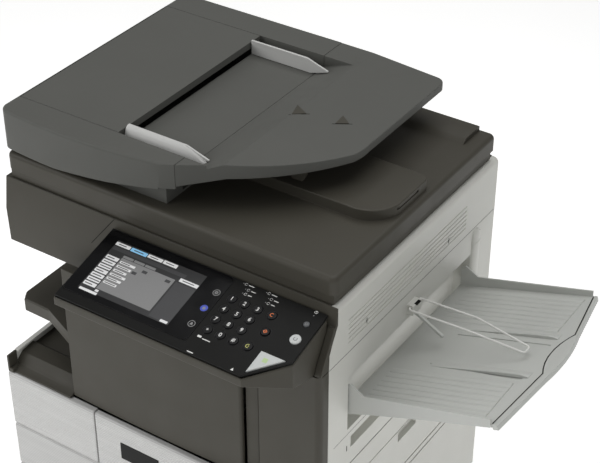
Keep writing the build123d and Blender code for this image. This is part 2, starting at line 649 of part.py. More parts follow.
COVER_L = FEED_L + 6.0
COVER_R = FEED_L + 193.0
NECK_FRONT = COVER_FRONT + 22.0
CHANNEL_FRONT = FEED_CENTRE_Y + 3 - PAPER_CHANNEL_W / 2
CHANNEL_BACK = FEED_CENTRE_Y + 3 + PAPER_CHANNEL_W / 2


def feeder_housing():
    f = COVER_FRONT
    plan = [[(FEED_L, FEED_BACK), (FEED_L, f + 14)],
            [(FEED_L, f + 14), (FEED_L + 3, f + 3), (FEED_L + 16, f - 4)],
            [(FEED_L + 16, f - 4), (FEED_L + 174, f - 9), (FEED_SEAM - 20, f + 5)],
            [(FEED_SEAM - 20, f + 5), (FEED_SEAM, f + 14.5)],
            [(FEED_SEAM, f + 14.5), (FEED_SEAM, FEED_BACK)],
            [(FEED_SEAM, FEED_BACK), (FEED_L, FEED_BACK)]]
    body = plan_curve(plan, Z_PLATEN + TOUCH, Z_FEED)
    body = fillet(level(body, Z_FEED, y=f - 6, near=9.0), 5.0)
    skirt = [(FEED_L - 1, Z_PLATEN), (FEED_L - 1, Z_PLATEN + 11), (FEED_L + 106, Z_PLATEN + 12),
             (FEED_L + 205, Z_PLATEN + 22), (FEED_SEAM + 1, Z_PLATEN + 38), (FEED_SEAM + 1, Z_PLATEN)]
    body -= prism(skirt, "y", f - 20, NECK_FRONT)
    body -= block(FEED_SEAM - 23, FEED_SEAM + 1, f - 20, FEED_BACK - 40, Z_PLATEN, Z_PLATEN + 37)
    body -= block(FEED_L + 9, COVER_R + 1, CHANNEL_FRONT + 4, CHANNEL_BACK - 4, Z_PLATEN + 16, Z_FEED + 1)
    body -= block(FEED_L + 3, COVER_R, CHANNEL_FRONT, CHANNEL_BACK, Z_FEED - 6, Z_FEED + 1)
    body -= block(COVER_R - 1, FEED_SEAM + 1, CHANNEL_FRONT, CHANNEL_BACK, CHANNEL_Z, Z_FEED + 1)
    body -= block(COVER_R, FEED_SEAM - 30, CHANNEL_FRONT + 10, CHANNEL_BACK - 10, Z_PLATEN + 16, CHANNEL_Z - 4)
    body -= block(FEED_SEAM - 60, FEED_SEAM + 1, CHANNEL_FRONT + 20, CHANNEL_BACK - 30, Z_PLATEN + 4,
                  Z_PLATEN + 40)
    return body


TRAY_T_SEAM = 37.0
TRAY_DROP = 8.0


def document_tray():
    x0 = FEED_SEAM + TOUCH
    right = FEED_SEAM + TRAY_REACH
    f = COVER_FRONT + 14.5
    plan = [[(x0, f), (x0 + 60, f + 40)],
            [(x0 + 60, f + 40), (x0 + 150, f + 118), (right - 4, f + 172)],
            [(right - 4, f + 172), (right, f + 190), (right, f + 210)],
            [(right, f + 210), (right, FEED_BACK - 16)],
            [(right, FEED_BACK - 16), (right - 5, FEED_BACK - 6), (right - 16, FEED_BACK - 2)],
            [(right - 16, FEED_BACK - 2), (x0, FEED_BACK)],
            [(x0, FEED_BACK), (x0, f)]]
    top_line = [(x0 - 1, Z_FEED), (x0 + 60, Z_FEED), (right + 1, Z_FEED - TRAY_DROP)]
    under_line = [(right + 1, Z_FEED - TRAY_DROP - 13), (x0 + 60, Z_FEED - 24), (x0 - 1, Z_FEED - TRAY_T_SEAM)]
    tray = plan_curve(plan, Z_PLATEN + 30, Z_FEED + 5)
    tray &= prism(top_line + under_line, "y", COVER_FRONT - 20, FEED_BACK + 20)
    inner_line = [(x0 + 4, Z_FEED - TRAY_T_SEAM - 20), (x0 + 4, CHANNEL_Z - 4), (x0 + 62, Z_FEED - 5),
                  (right - 6, Z_FEED - TRAY_DROP - 4), (right - 6, Z_FEED - 60)]
    shrink = plan_curve([[(x0 + 4, f + 9), (x0 + 56, f + 44)],
                         [(x0 + 56, f + 44), (x0 + 145, f + 122), (right - 9, f + 175)],
                         [(right - 9, f + 175), (right - 5, FEED_BACK - 20)],
                         [(right - 5, FEED_BACK - 20), (x0 + 4, FEED_BACK - 5)],
                         [(x0 + 4, FEED_BACK - 5), (x0 + 4, f + 9)]], Z_PLATEN, Z_FEED)
    tray -= shrink & prism(inner_line, "y", COVER_FRONT - 20, FEED_BACK + 20)
    ramp = [(x0 - 2, Z_FEED + 1), (x0 - 2, CHANNEL_Z), (x0 - 0.5, CHANNEL_Z), (x0 + 56, Z_FEED),
            (x0 + 56, Z_FEED + 1)]
    return tray - prism(ramp, "y", CHANNEL_FRONT, CHANNEL_BACK)


LID_HINGE_X = COVER_L + 3.0
LID_HINGE_Z = Z_FEED - 1.5


def feeder_cover():
    gap = 0.8
    y0 = CHANNEL_FRONT + gap
    y1 = CHANNEL_BACK - gap
    lid = block(COVER_L, COVER_R, y0, y1, Z_FEED - 3.5, Z_FEED + 0.5)
    lip = [(COVER_R - 34, Z_FEED - 3.5), (COVER_R, Z_FEED - 11), (COVER_R, Z_FEED - 3)]
    lid += prism(lip + [(COVER_R - 34, Z_FEED - 3)], "y", y0 + 4, y1 - 4)
    lid = fillet(level(lid, Z_FEED + 0.5, "x"), 1.5)
    for y in (y0 + 12, y1 - 24):
        lid += block(COVER_L + 14, COVER_R - 40, y, y + 3, Z_FEED - 9, Z_FEED - 3)
    return lid


GUIDE_L = COVER_R - 2.0
GUIDE_T = 3.0


def guide(side):
    """Document guide; side is -1 for the front one and +1 for the rear one."""
    inner = FEED_CENTRE_Y + side * GUIDE_GAP / 2
    outer = inner + side * GUIDE_T
    z0 = CHANNEL_Z + SLIP
    x1 = FEED_SEAM - 12.0
    x0 = GUIDE_L + 4.0
    line = [(x0, z0), (FEED_SEAM - 6, z0), (FEED_SEAM + 26, z0 + 10.5), (FEED_SEAM + 26, z0 + 12), (x1, z0 + 24),
            (x0, z0 + 24)]
    plate = prism(line, "y", min(inner, outer), max(inner, outer))
    foot = outer + side * 14.0
    plate += block(x0, x1, min(outer - side, foot), max(outer - side, foot), z0, z0 + 2.5)
    for x in (x0 + 20, x1 - 20):
        web = [(outer - side, z0 + 1), (outer - side, z0 + 18), (foot, z0 + 2)]
        plate += prism(web, "x", x - 1.2, x + 1.2)
    return plate


ROLLER_X = COVER_R - 34.0
ROLLER_Z = Z_FEED - 23.0


def pickup_roller():
    shaft = rod("y", CHANNEL_FRONT + 12, CHANNEL_BACK - 12, ROLLER_X, ROLLER_Z, 3.0)
    for y in (FEED_CENTRE_Y - 22, FEED_CENTRE_Y + 4):
        shaft += rod("y", y, y + 18, ROLLER_X, ROLLER_Z, 11.0)
    return shaft


def hinge_brackets():
    solids = []
    for x in (-HINGE_X, HINGE_X):
        bracket = block(x - 30, x + 30, HINGE_Y - 3.5, HINGE_Y + 6.5, Z_GLASS, Z_GLASS + 3)
        for ear in (x - 20, x + 20):
            bracket += rod("x", ear - 2, ear + 2, HINGE_Y, HINGE_Z, 4.0)
            bracket += block(ear - 2, ear + 2, HINGE_Y - 3, HINGE_Y + 3, Z_GLASS + 1, HINGE_Z)
        bracket += rod("x", x - 22, x + 22, HINGE_Y, HINGE_Z, HINGE_PIN_R)
        solids.append(bracket.solid())
    return Compound(children=solids)


def hinge_arms():
    solids = []
    for x in (-HINGE_X, HINGE_X):
        arm = rod("x", x - 16, x + 16, HINGE_Y, HINGE_Z, 4.6)
        arm += block(x - 16, x + 16, COVER_BACK, HINGE_Y, HINGE_Z - 4, HINGE_Z + 4.6)
        arm -= rod("x", x - 17, x + 17, HINGE_Y, HINGE_Z, HINGE_PIN_R + 0.3)
        solids.append(arm.solid())
    return Compound(children=solids)


# ---------------------------------------------------------------- side exit tray
TRAY_ROOT_X = X_R + 5.0
TRAY_ROOT_Z = EXIT_RECESS_Z0 + 48.5
RIB_PITCH = 17.0
EDGE_FRONT = 17.6          # outer edge of the floor, back from the tray's full reach, at the front corner
EDGE_BEND = 6.0
EDGE_DIP = 19.0
EDGE_REAR = 26.6


def on_exit_tray(shape):
    """Move a shape drawn level, with x from the tray's root, to the tray's slope."""
    return Pos(TRAY_ROOT_X, 0, TRAY_ROOT_Z) * Rot(0, -EXIT_TRAY_TILT, 0) * shape


def tray_edge(gap):
    """Outer edge of the side tray's floor: two slanting runs with a shallow arc between them."""
    reach = EXIT_TRAY_L / math.cos(math.radians(EXIT_TRAY_TILT)) + gap
    half = EXIT_TRAY_D / 2
    front = (reach - EDGE_FRONT, -half)
    rear = (reach - EDGE_REAR, half)
    return [[front, (reach - EDGE_BEND, -40)],
            [(reach - EDGE_BEND, -40), (reach - EDGE_DIP, 12), (reach - EDGE_BEND, 64)],
            [(reach - EDGE_BEND, 64), rear]]


def side_exit_tray():
    half = EXIT_TRAY_D / 2
    edge = tray_edge(0)
    front = edge[0][0]
    rear = edge[-1][-1]
    sides = [[rear, (-14, half)], [(-14, half), (-14, -half)], [(-14, -half), front]]
    floor = plan_curve(edge + sides, -4, 0)
    for sign in (-1, 1):
        for y in grid(5, RIB_PITCH, sign * (half - 56)):
            floor += block(12, rear[0] - 8, y - 0.8, y + 0.8, -1, 0.7)
    nose = front[0] - 12
    for y0, y1 in ((-62, -48), (20, 34)):
        groove = [(60, y0 + 12), (nose - 4, y0), (nose, y0 + 4), (nose, y1 - 2), (60, y0 + 14)]
        floor -= prism(groove, "z", -1.8, 2)
    tray = on_exit_tray(floor)
    rise = math.tan(math.radians(EXIT_TRAY_TILT))

    def floor_z(x):
        return TRAY_ROOT_Z + rise * (x - TRAY_ROOT_X)

    for y, corner in ((-half, front), (half - 2.6, rear)):
        end_x = TRAY_ROOT_X + (corner[0] - 2) * math.cos(math.radians(EXIT_TRAY_TILT))
        wall = [(X_R - 7, floor_z(X_R) + 32), (X_R + 1, floor_z(X_R) + 38), (X_R + 23, floor_z(X_R + 23) + 18),
                (end_x, floor_z(end_x) + 10), (end_x, floor_z(end_x) - 5), (X_R + 124, floor_z(X_R + 124) - 9),
                (X_R + 24, floor_z(X_R + 24) - 16), (X_R - 7, floor_z(X_R) - 22)]
        tray += prism(wall, "y", y, y + 2.6)
    return tray


def side_tray_extension():
    gap = SLIP
    inner = tray_edge(gap)
    front = inner[0][0]
    rear = inner[-1][-1]
    crest = front[0] + EDGE_FRONT - gap
    plate = block(70, front[0] + 2, -95, 60, -7.5, -4 - gap)
    outer = [[rear, (rear[0] + 5, rear[1])],
             [(rear[0] + 5, rear[1]), (crest - EDGE_BEND + 4, 66)],
             [(crest - EDGE_BEND + 4, 66), (crest + 7, -5), (crest - EDGE_BEND + 9, -52)],
             [(crest - EDGE_BEND + 9, -52), (front[0] + 9, front[1])],
             [(front[0] + 9, front[1]), front]]
    tab = plan_curve(inner + outer, -7.5, 0.5)
    return on_exit_tray(plate + tab)


WIRE_KINK = 96.0
WIRE_TIP = 186.0


def paper_holder():
    y0 = WIRE_MID_Y - WIRE_HALF
    y1 = WIRE_MID_Y + WIRE_HALF
    kink_x = WIRE_X + WIRE_KINK
    kink_z = WIRE_Z + 4
    tip_x = WIRE_X + WIRE_TIP
    tip_z = WIRE_Z - 4
    route = FilletPolyline((WIRE_X, WIRE_MID_Y - 10, WIRE_Z), (WIRE_X, y0, WIRE_Z), (kink_x, y0, kink_z),
                           (tip_x, WIRE_MID_Y - 8, tip_z), (tip_x, WIRE_MID_Y + 8, tip_z), (kink_x, y1, kink_z),
                           (WIRE_X, y1, WIRE_Z), (WIRE_X, WIRE_MID_Y + 10, WIRE_Z), radius=4.0)
    start = Plane(origin=(WIRE_X, WIRE_MID_Y - 10, WIRE_Z), z_dir=(0, -1, 0))
    wire = sweep(start * Circle(WIRE_R), path=route)
    return wire + rod("y", WIRE_MID_Y - 10.5, WIRE_MID_Y + 10.5, WIRE_X, WIRE_Z, WIRE_R)


# ---------------------------------------------------------------- doors and cassettes
SIDE_HINGE_X = X_R - 4.0
SIDE_HINGE_Z = SIDE_DOOR_Z0 + 9.0
LID_Z0 = SIDE_DOOR_Z0 + 14.0
LID_H = 86.0
LID_HALF = 165.0
LID_MID_Y = 6.0


def side_door():
    z0 = SIDE_DOOR_Z0 + 1.5
    z1 = SIDE_DOOR_Z0 + SIDE_DOOR_H
    y0 = SIDE_DOOR_FRONT + 1.5
    y1 = SIDE_DOOR_BACK - 1.5
    door = block(X_R - WALL, X_R, y0, y1, z0, z1)
    for y in (y0, y1 - WALL):
        door += block(X_R - 13, X_R, y, y + WALL, z0, z1)
    door += block(X_R - 13, X_R, y0, y1, z1 - WALL, z1)
    door += rod("y", y0, y1, SIDE_HINGE_X, SIDE_HINGE_Z, 4.0)
    return door - block(X_R - 20, X_R + 1, LID_MID_Y - LID_HALF - 1.5, LID_MID_Y + LID_HALF + 1.5,
                        LID_Z0 - 2.5, LID_Z0 + LID_H + 1.5)


def bypass_tray():
    lid = block(X_R - 10, X_R, LID_MID_Y - LID_HALF, LID_MID_Y + LID_HALF, LID_Z0, LID_Z0 + LID_H)
    lid -= block(X_R - 11, X_R - 4, LID_MID_Y - LID_HALF + 4, LID_MID_Y + LID_HALF - 4, LID_Z0 + 10, LID_Z0 + 56)
    return lid - block(X_R - 8, X_R + 1, LID_MID_Y - 28, LID_MID_Y + 28, LID_Z0 + LID_H - 23, LID_Z0 + LID_H - 2)


def front_door():
    z0 = Z_LEDGE + 5
    z1 = Z_SCAN + PANEL_RISE - 4
    bow = 3.0
    mid = (DARK_DOOR_L + DARK_DOOR_R) / 2
    skin = plan_curve([[(DARK_DOOR_L, DARK_Y + bow), (mid, DARK_Y), (DARK_DOOR_R, DARK_Y + bow)],
                       [(DARK_DOOR_R, DARK_Y + bow), (DARK_DOOR_R, DARK_Y + DOOR_T)],
                       [(DARK_DOOR_R, DARK_Y + DOOR_T), (DARK_DOOR_L, DARK_Y + DOOR_T)],
                       [(DARK_DOOR_L, DARK_Y + DOOR_T), (DARK_DOOR_L, DARK_Y + bow)]], z0, z1)
    skin = fillet(upright(skin, DARK_DOOR_R, DARK_Y + bow), 5.0)
    return skin - block(DARK_DOOR_L + WALL, DARK_DOOR_R - WALL, DARK_Y + bow + WALL, DARK_Y + DOOR_T + 1,
                        z0 + 12, z1 - WALL)


def toner_door():
    x0 = DOOR_SPLIT_X + SEAM / 2
    z0 = Z_COVERS + 1.5
    back = Y_F + DOOR_T
    outer = block(x0, X_R, Y_F, back, z0, Z_LEDGE)
    outer = fillet(level(outer, Z_LEDGE, "x", y=Y_F), 4.0)
    return outer - block(x0 + WALL, X_R - WALL, Y_F + WALL, back + 1, z0 + 12, Z_LEDGE - WALL)


CASSETTE_WALL = 2.5


def cassette(z):
    front = block(X_L, X_R, Y_F, FRONT_BACK, z, z + CASSETTE_FRONT_H)
    front = fillet(level(front, z + CASSETTE_FRONT_H, "x", y=Y_F), 4.0)
    front -= block(-62, 62, Y_F - 1, FRONT_BACK - WALL, z + 46, z + 70)
    x0 = FRAME_L + 22
    x1 = FRAME_R - 19
    y1 = REAR_PLATE - 26
    box = block(x0, x1, FRONT_BACK - 1, y1, z + 4, z + 76)
    box -= block(x0 + CASSETTE_WALL, x1 - CASSETTE_WALL, FRONT_BACK + CASSETTE_WALL, y1 - CASSETTE_WALL,
                 z + 4 + CASSETTE_WALL, z + 80)
    rail = z + CASSETTE_FRONT_H - RAIL_DROP + SLIP
    box += block(FRAME_L + SHEET + 3, x0 + 1, FRONT_BACK - 1, y1, rail, rail + 2.5)
    box += block(x1 - 1, FRAME_R - 3, FRONT_BACK - 1, y1, rail, rail + 2.5)
    return front + box


def screws():
    solids = []
    for z in (PLINTH_H + 30, Z_LEDGE, Z_SCAN - 30):
        for x in (X_L + 20, -60.0, 60.0, X_R - 20):
            head = rod("y", Y_B, Y_B + 1.8, x, z, 4.0)
            head -= block(x - 2.6, x + 2.6, Y_B + 1, Y_B + 3, z - 0.5, z + 0.5)
            head -= block(x - 0.5, x + 0.5, Y_B + 1, Y_B + 3, z - 2.6, z + 2.6)
            solids.append(head.solid())
    return Compound(children=solids)


# ---------------------------------------------------------------- every piece
PIECES = {
    "plinth": plinth(),
    "feet": feet(),
    "base_frame": base_frame(),
    "left_cover": left_cover(),
    "right_cover": right_cover(),
    "rear_cover": rear_cover(),
    "front_left_cover": front_left_cover(),
    "pillar_cover": pillar_cover(),
    "inner_exit_tray": inner_exit_tray(),
    "separator_tray": separator_tray(),
    "fuser_unit": fuser_unit(),
    "drum_unit": drum_unit(),
    "toner_cartridge": toner_cartridge(),
    "scanner_tub": scanner_tub(),
    "scan_glass": scan_glass(),
    "scan_carriage": scan_carriage(),
    "scanner_bezel": scanner_bezel(),
    "scanner_side_cover": scanner_side_cover(),
    "panel_housing": panel_housing(),
    "panel_face": panel_face(),
    "touchscreen": touchscreen(),
    "key_start": start_key(),
    "platen_cover": platen_cover(),
    "platen_pad": platen_pad(),
    "exit_extension": exit_extension(),
    "feeder_housing": feeder_housing(),
    "document_tray": document_tray(),
    "feeder_cover": feeder_cover(),
    "guide_front": guide(-1),
    "guide_rear": guide(1),
    "pickup_roller": pickup_roller(),
    "hinge_brackets": hinge_brackets(),
    "hinge_arms": hinge_arms(),
    "side_exit_tray": side_exit_tray(),
    "side_tray_extension": side_tray_extension(),
    "paper_holder": paper_holder(),
    "side_door": side_door(),
    "bypass_tray": bypass_tray(),
    "front_door": front_door(),
    "toner_door": toner_door(),
    "cassette_lower": cassette(Z_CASSETTES[0]),
    "cassette_upper": cassette(Z_CASSETTES[1]),
    "screws": screws(),
}
for key_name, key_x, key_v, key_radius in round_keys():
    PIECES[key_name] = round_key(key_x, key_v, key_radius)

os.makedirs("parts", exist_ok=True)
for piece_name, piece in PIECES.items():
    piece.label = piece_name
    export_step(piece, f"parts/{piece_name}.step")
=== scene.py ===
"""Looks of an office photocopier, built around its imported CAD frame."""

import logging
import math
from dataclasses import dataclass, field
from enum import Enum

import bmesh
import bpy
from mathutils import Matrix, Vector


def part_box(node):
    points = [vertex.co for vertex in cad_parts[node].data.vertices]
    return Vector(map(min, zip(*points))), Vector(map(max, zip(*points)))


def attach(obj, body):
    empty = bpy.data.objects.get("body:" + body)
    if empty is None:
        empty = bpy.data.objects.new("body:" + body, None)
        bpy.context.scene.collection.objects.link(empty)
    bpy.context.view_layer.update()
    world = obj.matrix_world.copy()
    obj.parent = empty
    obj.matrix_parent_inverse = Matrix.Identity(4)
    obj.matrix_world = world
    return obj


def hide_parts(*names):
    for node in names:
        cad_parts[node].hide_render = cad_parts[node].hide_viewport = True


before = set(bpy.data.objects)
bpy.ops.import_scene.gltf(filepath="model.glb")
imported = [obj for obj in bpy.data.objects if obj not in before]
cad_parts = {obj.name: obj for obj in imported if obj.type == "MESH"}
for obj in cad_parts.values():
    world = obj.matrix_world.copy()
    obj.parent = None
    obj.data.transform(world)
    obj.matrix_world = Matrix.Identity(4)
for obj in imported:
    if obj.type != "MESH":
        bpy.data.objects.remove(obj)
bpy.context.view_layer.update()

LOG = logging.getLogger("photocopier")
MM = 0.001
Colour = tuple[float, float, float]
Point = tuple[float, float]
Socket = bpy.types.NodeSocket
Piece = bpy.types.Object


class NodeBoard:
    """A node tree that nodes are added to and wired on."""

    tree: bpy.types.NodeTree

    def add(self, kind: str, **settings: object) -> bpy.types.Node:
        """Add a node.

        Args:
            kind: the node's type.
            settings: its plain properties.

        Returns:
            The new node.
        """
        node = self.tree.nodes.new(kind)
        for key, value in settings.items():
            setattr(node, key, value)
        return node

    def link(self, source: Socket, target: Socket) -> None:
        """Wire one socket to another."""
        self.tree.links.new(source, target)


# ---------------------------------------------------------------- finishes
class ShaderBoard(NodeBoard):
    """The nodes of one material, with its Principled shader ready to be wired."""

    def __init__(self, name: str) -> None:
        """Make a material and keep its tree and shader.

        Args:
            name: the material's name.
        """
        self.material = bpy.data.materials.new(name)
        self.material.use_nodes = True
        self.tree = self.material.node_tree
        self.surface = self.tree.nodes["Principled BSDF"]
        coordinates = self.add("ShaderNodeTexCoord")
        self.place = coordinates.outputs["Object"]

    def paint(self, tint: Socket, rough: Socket) -> None:
        """Wire a colour and a roughness to the shader."""
        self.link(tint, self.surface.inputs["Base Color"])
        self.link(rough, self.surface.inputs["Roughness"])

    def noise(self, scale: float, detail: float = 2.0, stretch: Colour = (1.0, 1.0, 1.0)) -> Socket:
        """Cloudy pattern fixed to the piece.

        Args:
            scale: clouds per metre.
            detail: octaves of finer clouds.
            stretch: scale along each axis.

        Returns:
            The pattern, from 0 to 1.
        """
        mapping = self.add("ShaderNodeMapping")
        mapping.inputs["Scale"].default_value = stretch
        self.link(self.place, mapping.inputs["Vector"])
        texture = self.add("ShaderNodeTexNoise")
        texture.inputs["Scale"].default_value = scale
        texture.inputs["Detail"].default_value = detail
        self.link(mapping.outputs["Vector"], texture.inputs["Vector"])
        return texture.outputs["Fac"]

    def span(self, source: Socket, low: float, high: float) -> Socket:
        """Map a cloudy pattern to a range.

        Args:
            source: the pattern.
            low: value in its dark places.
            high: value in its light places.

        Returns:
            The mapped value.
        """
        node = self.add("ShaderNodeMapRange")
        node.inputs["From Min"].default_value = 0.3
        node.inputs["From Max"].default_value = 0.7
        node.inputs["To Min"].default_value = low
        node.inputs["To Max"].default_value = high
        self.link(source, node.inputs["Value"])
        return node.outputs["Result"]

    def blend(self, share: Socket, first: Colour, second: Colour) -> Socket:
        """Mix two colours by a pattern.

        Args:
            share: the pattern, 0 for the first colour and 1 for the second.
            first: linear colour.
            second: linear colour.

        Returns:
            The mixed colour.
        """
        node = self.add("ShaderNodeMix", data_type="RGBA")
        node.inputs[6].default_value = (*first, 1.0)
        node.inputs[7].default_value = (*second, 1.0)
        self.link(share, node.inputs[0])
        return node.outputs[2]

    def relief(self, height: Socket, depth: float, strength: float = 1.0) -> None:
        """Wire a pattern to the shader's normal.

        Args:
            height: the pattern.
            depth: its height in metres.
            strength: how much of it shows.
        """
        node = self.add("ShaderNodeBump")
        node.inputs["Distance"].default_value = depth
        node.inputs["Strength"].default_value = strength
        self.link(height, node.inputs["Height"])
        self.link(node.outputs["Normal"], self.surface.inputs["Normal"])


def shade(colour: Colour, factor: float) -> Colour:
    """A colour made lighter or darker by a factor."""
    return tuple(min(1.0, channel * factor) for channel in colour)


@dataclass(frozen=True)
class Finish:
    """A finish of one colour on one slot of the frame."""

    slot: str
    colour: Colour

    def material(self, name: str) -> bpy.types.Material:
        """The finish as a material with the given name."""
        board = ShaderBoard(name)
        self.wire(board)
        return board.material

    def wire(self, board: ShaderBoard) -> None:
        """Wire the finish's patterns to the shader."""
        raise NotImplementedError


@dataclass(frozen=True)
class MouldedPlastic(Finish):
    """Injection-moulded plastic with a fine even grain and faint uneven tone."""

    roughness: float = 0.5
    grains: float = 1100.0
    grain_depth: float = 0.00004
    mottle: float = 0.06
    specular: float = 0.5
    coat: float = 0.0

    def wire(self, board: ShaderBoard) -> None:
        """Wire the finish's patterns to the shader."""
        tone = board.noise(7.0, 3.0)
        tint = board.blend(tone, shade(self.colour, 1.0 - self.mottle), shade(self.colour, 1.0 + self.mottle))
        handled = board.noise(23.0, 4.0)
        board.paint(tint, board.span(handled, self.roughness - 0.05, self.roughness + 0.05))
        board.surface.inputs["Specular IOR Level"].default_value = self.specular
        board.surface.inputs["Coat Weight"].default_value = self.coat
        board.surface.inputs["Coat Roughness"].default_value = 0.08
        board.relief(board.noise(self.grains, 1.0), self.grain_depth, 0.6)


@dataclass(frozen=True)
class PinstripedPlastic(Finish):
    """White plastic with fine level lines, their valleys darkened as painted shade."""

    valley_painted_shade: Colour
    pitch: float = 0.0037

    def wire(self, board: ShaderBoard) -> None:
        """Wire the finish's patterns to the shader."""
        split = board.add("ShaderNodeSeparateXYZ")
        board.link(board.place, split.inputs["Vector"])
        rows = board.add("ShaderNodeMath", operation="PINGPONG")
        rows.inputs[1].default_value = self.pitch / 2
        board.link(split.outputs["Z"], rows.inputs[0])
        line = board.add("ShaderNodeMapRange", interpolation_type="SMOOTHSTEP")
        line.inputs["From Min"].default_value = self.pitch * 0.10
        line.inputs["From Max"].default_value = self.pitch * 0.34
        board.link(rows.outputs["Value"], line.inputs["Value"])
        waves = board.noise(9.0, 2.0, (1.0, 1.0, 14.0))
        uneven = board.add("ShaderNodeMath", operation="MULTIPLY")
        board.link(line.outputs["Result"], uneven.inputs[0])
        board.link(board.span(waves, 0.55, 1.0), uneven.inputs[1])
        # The valleys between the fine lines take the darker colour: painted shade.
        tint = board.blend(uneven.outputs["Value"], self.valley_painted_shade, self.colour)
        board.paint(tint, board.span(board.noise(30.0, 3.0), 0.40, 0.50))
        board.relief(board.noise(1400.0, 1.0), 0.00002, 0.4)


@dataclass(frozen=True)
class LitPrint(Finish):
    """A lit part of the display: flat ink colour behind glossy glass, with its dot grain."""

    glow: float = 0.35

    def wire(self, board: ShaderBoard) -> None:
        """Wire the finish's patterns to the shader."""
        grain = board.noise(2600.0, 0.0)
        tint = board.blend(grain, shade(self.colour, 0.92), shade(self.colour, 1.06))
        board.paint(tint, board.span(board.noise(40.0), 0.42, 0.5))
        board.link(tint, board.surface.inputs["Emission Color"])
        board.surface.inputs["Emission Strength"].default_value = self.glow
        board.surface.inputs["Coat Weight"].default_value = 0.8
        board.surface.inputs["Coat Roughness"].default_value = 0.06


@dataclass(frozen=True)
class SheetSteel(Finish):
    """Zinc-plated sheet: faint rolling streaks and blotchy spangle."""

    roughness: float = 0.36

    def wire(self, board: ShaderBoard) -> None:
        """Wire the finish's patterns to the shader."""
        streaks = board.noise(60.0, 3.0, (1.0, 1.0, 12.0))
        tint = board.blend(streaks, shade(self.colour, 0.82), shade(self.colour, 1.1))
        board.surface.inputs["Metallic"].default_value = 1.0
        board.paint(tint, board.span(board.noise(140.0, 4.0), self.roughness - 0.1, self.roughness + 0.12))
        board.relief(board.noise(800.0, 2.0, (1.0, 1.0, 6.0)), 0.00002, 0.5)


@dataclass(frozen=True)
class Rubber(Finish):
    """Matt moulded rubber with a dusty bloom."""

    def wire(self, board: ShaderBoard) -> None:
        """Wire the finish's patterns to the shader."""
        bloom = board.noise(90.0, 5.0)
        tint = board.blend(bloom, self.colour, shade(self.colour, 1.8))
        board.paint(tint, board.span(board.noise(50.0), 0.75, 0.9))
        board.surface.inputs["Specular IOR Level"].default_value = 0.3
        board.relief(board.noise(2000.0, 2.0), 0.00005, 0.6)


@dataclass(frozen=True)
class FloatGlass(Finish):
    """Clear scanning glass with a faint green body and a trace of dust."""

    def wire(self, board: ShaderBoard) -> None:
        """Wire the finish's patterns to the shader."""
        dust = board.noise(40.0, 6.0)
        tint = board.blend(dust, shade(self.colour, 0.96), self.colour)
        board.paint(tint, board.span(dust, 0.01, 0.05))
        board.surface.inputs["Transmission Weight"].default_value = 0.92
        board.surface.inputs["IOR"].default_value = 1.5


@dataclass(frozen=True)
class FoamSheet(Finish):
    """White foam-backed pressing sheet with a fine woven face."""

    def wire(self, board: ShaderBoard) -> None:
        """Wire the finish's patterns to the shader."""
        tint = board.blend(board.noise(12.0, 4.0), shade(self.colour, 0.93), self.colour)
        board.paint(tint, board.span(board.noise(60.0), 0.7, 0.85))
        weave = board.add("ShaderNodeTexVoronoi", feature="F1", distance="CHEBYCHEV")
        weave.inputs["Scale"].default_value = 900.0
        board.link(board.place, weave.inputs["Vector"])
        board.relief(weave.outputs["Distance"], 0.00008, 0.5)
        board.surface.inputs["Sheen Weight"].default_value = 0.25


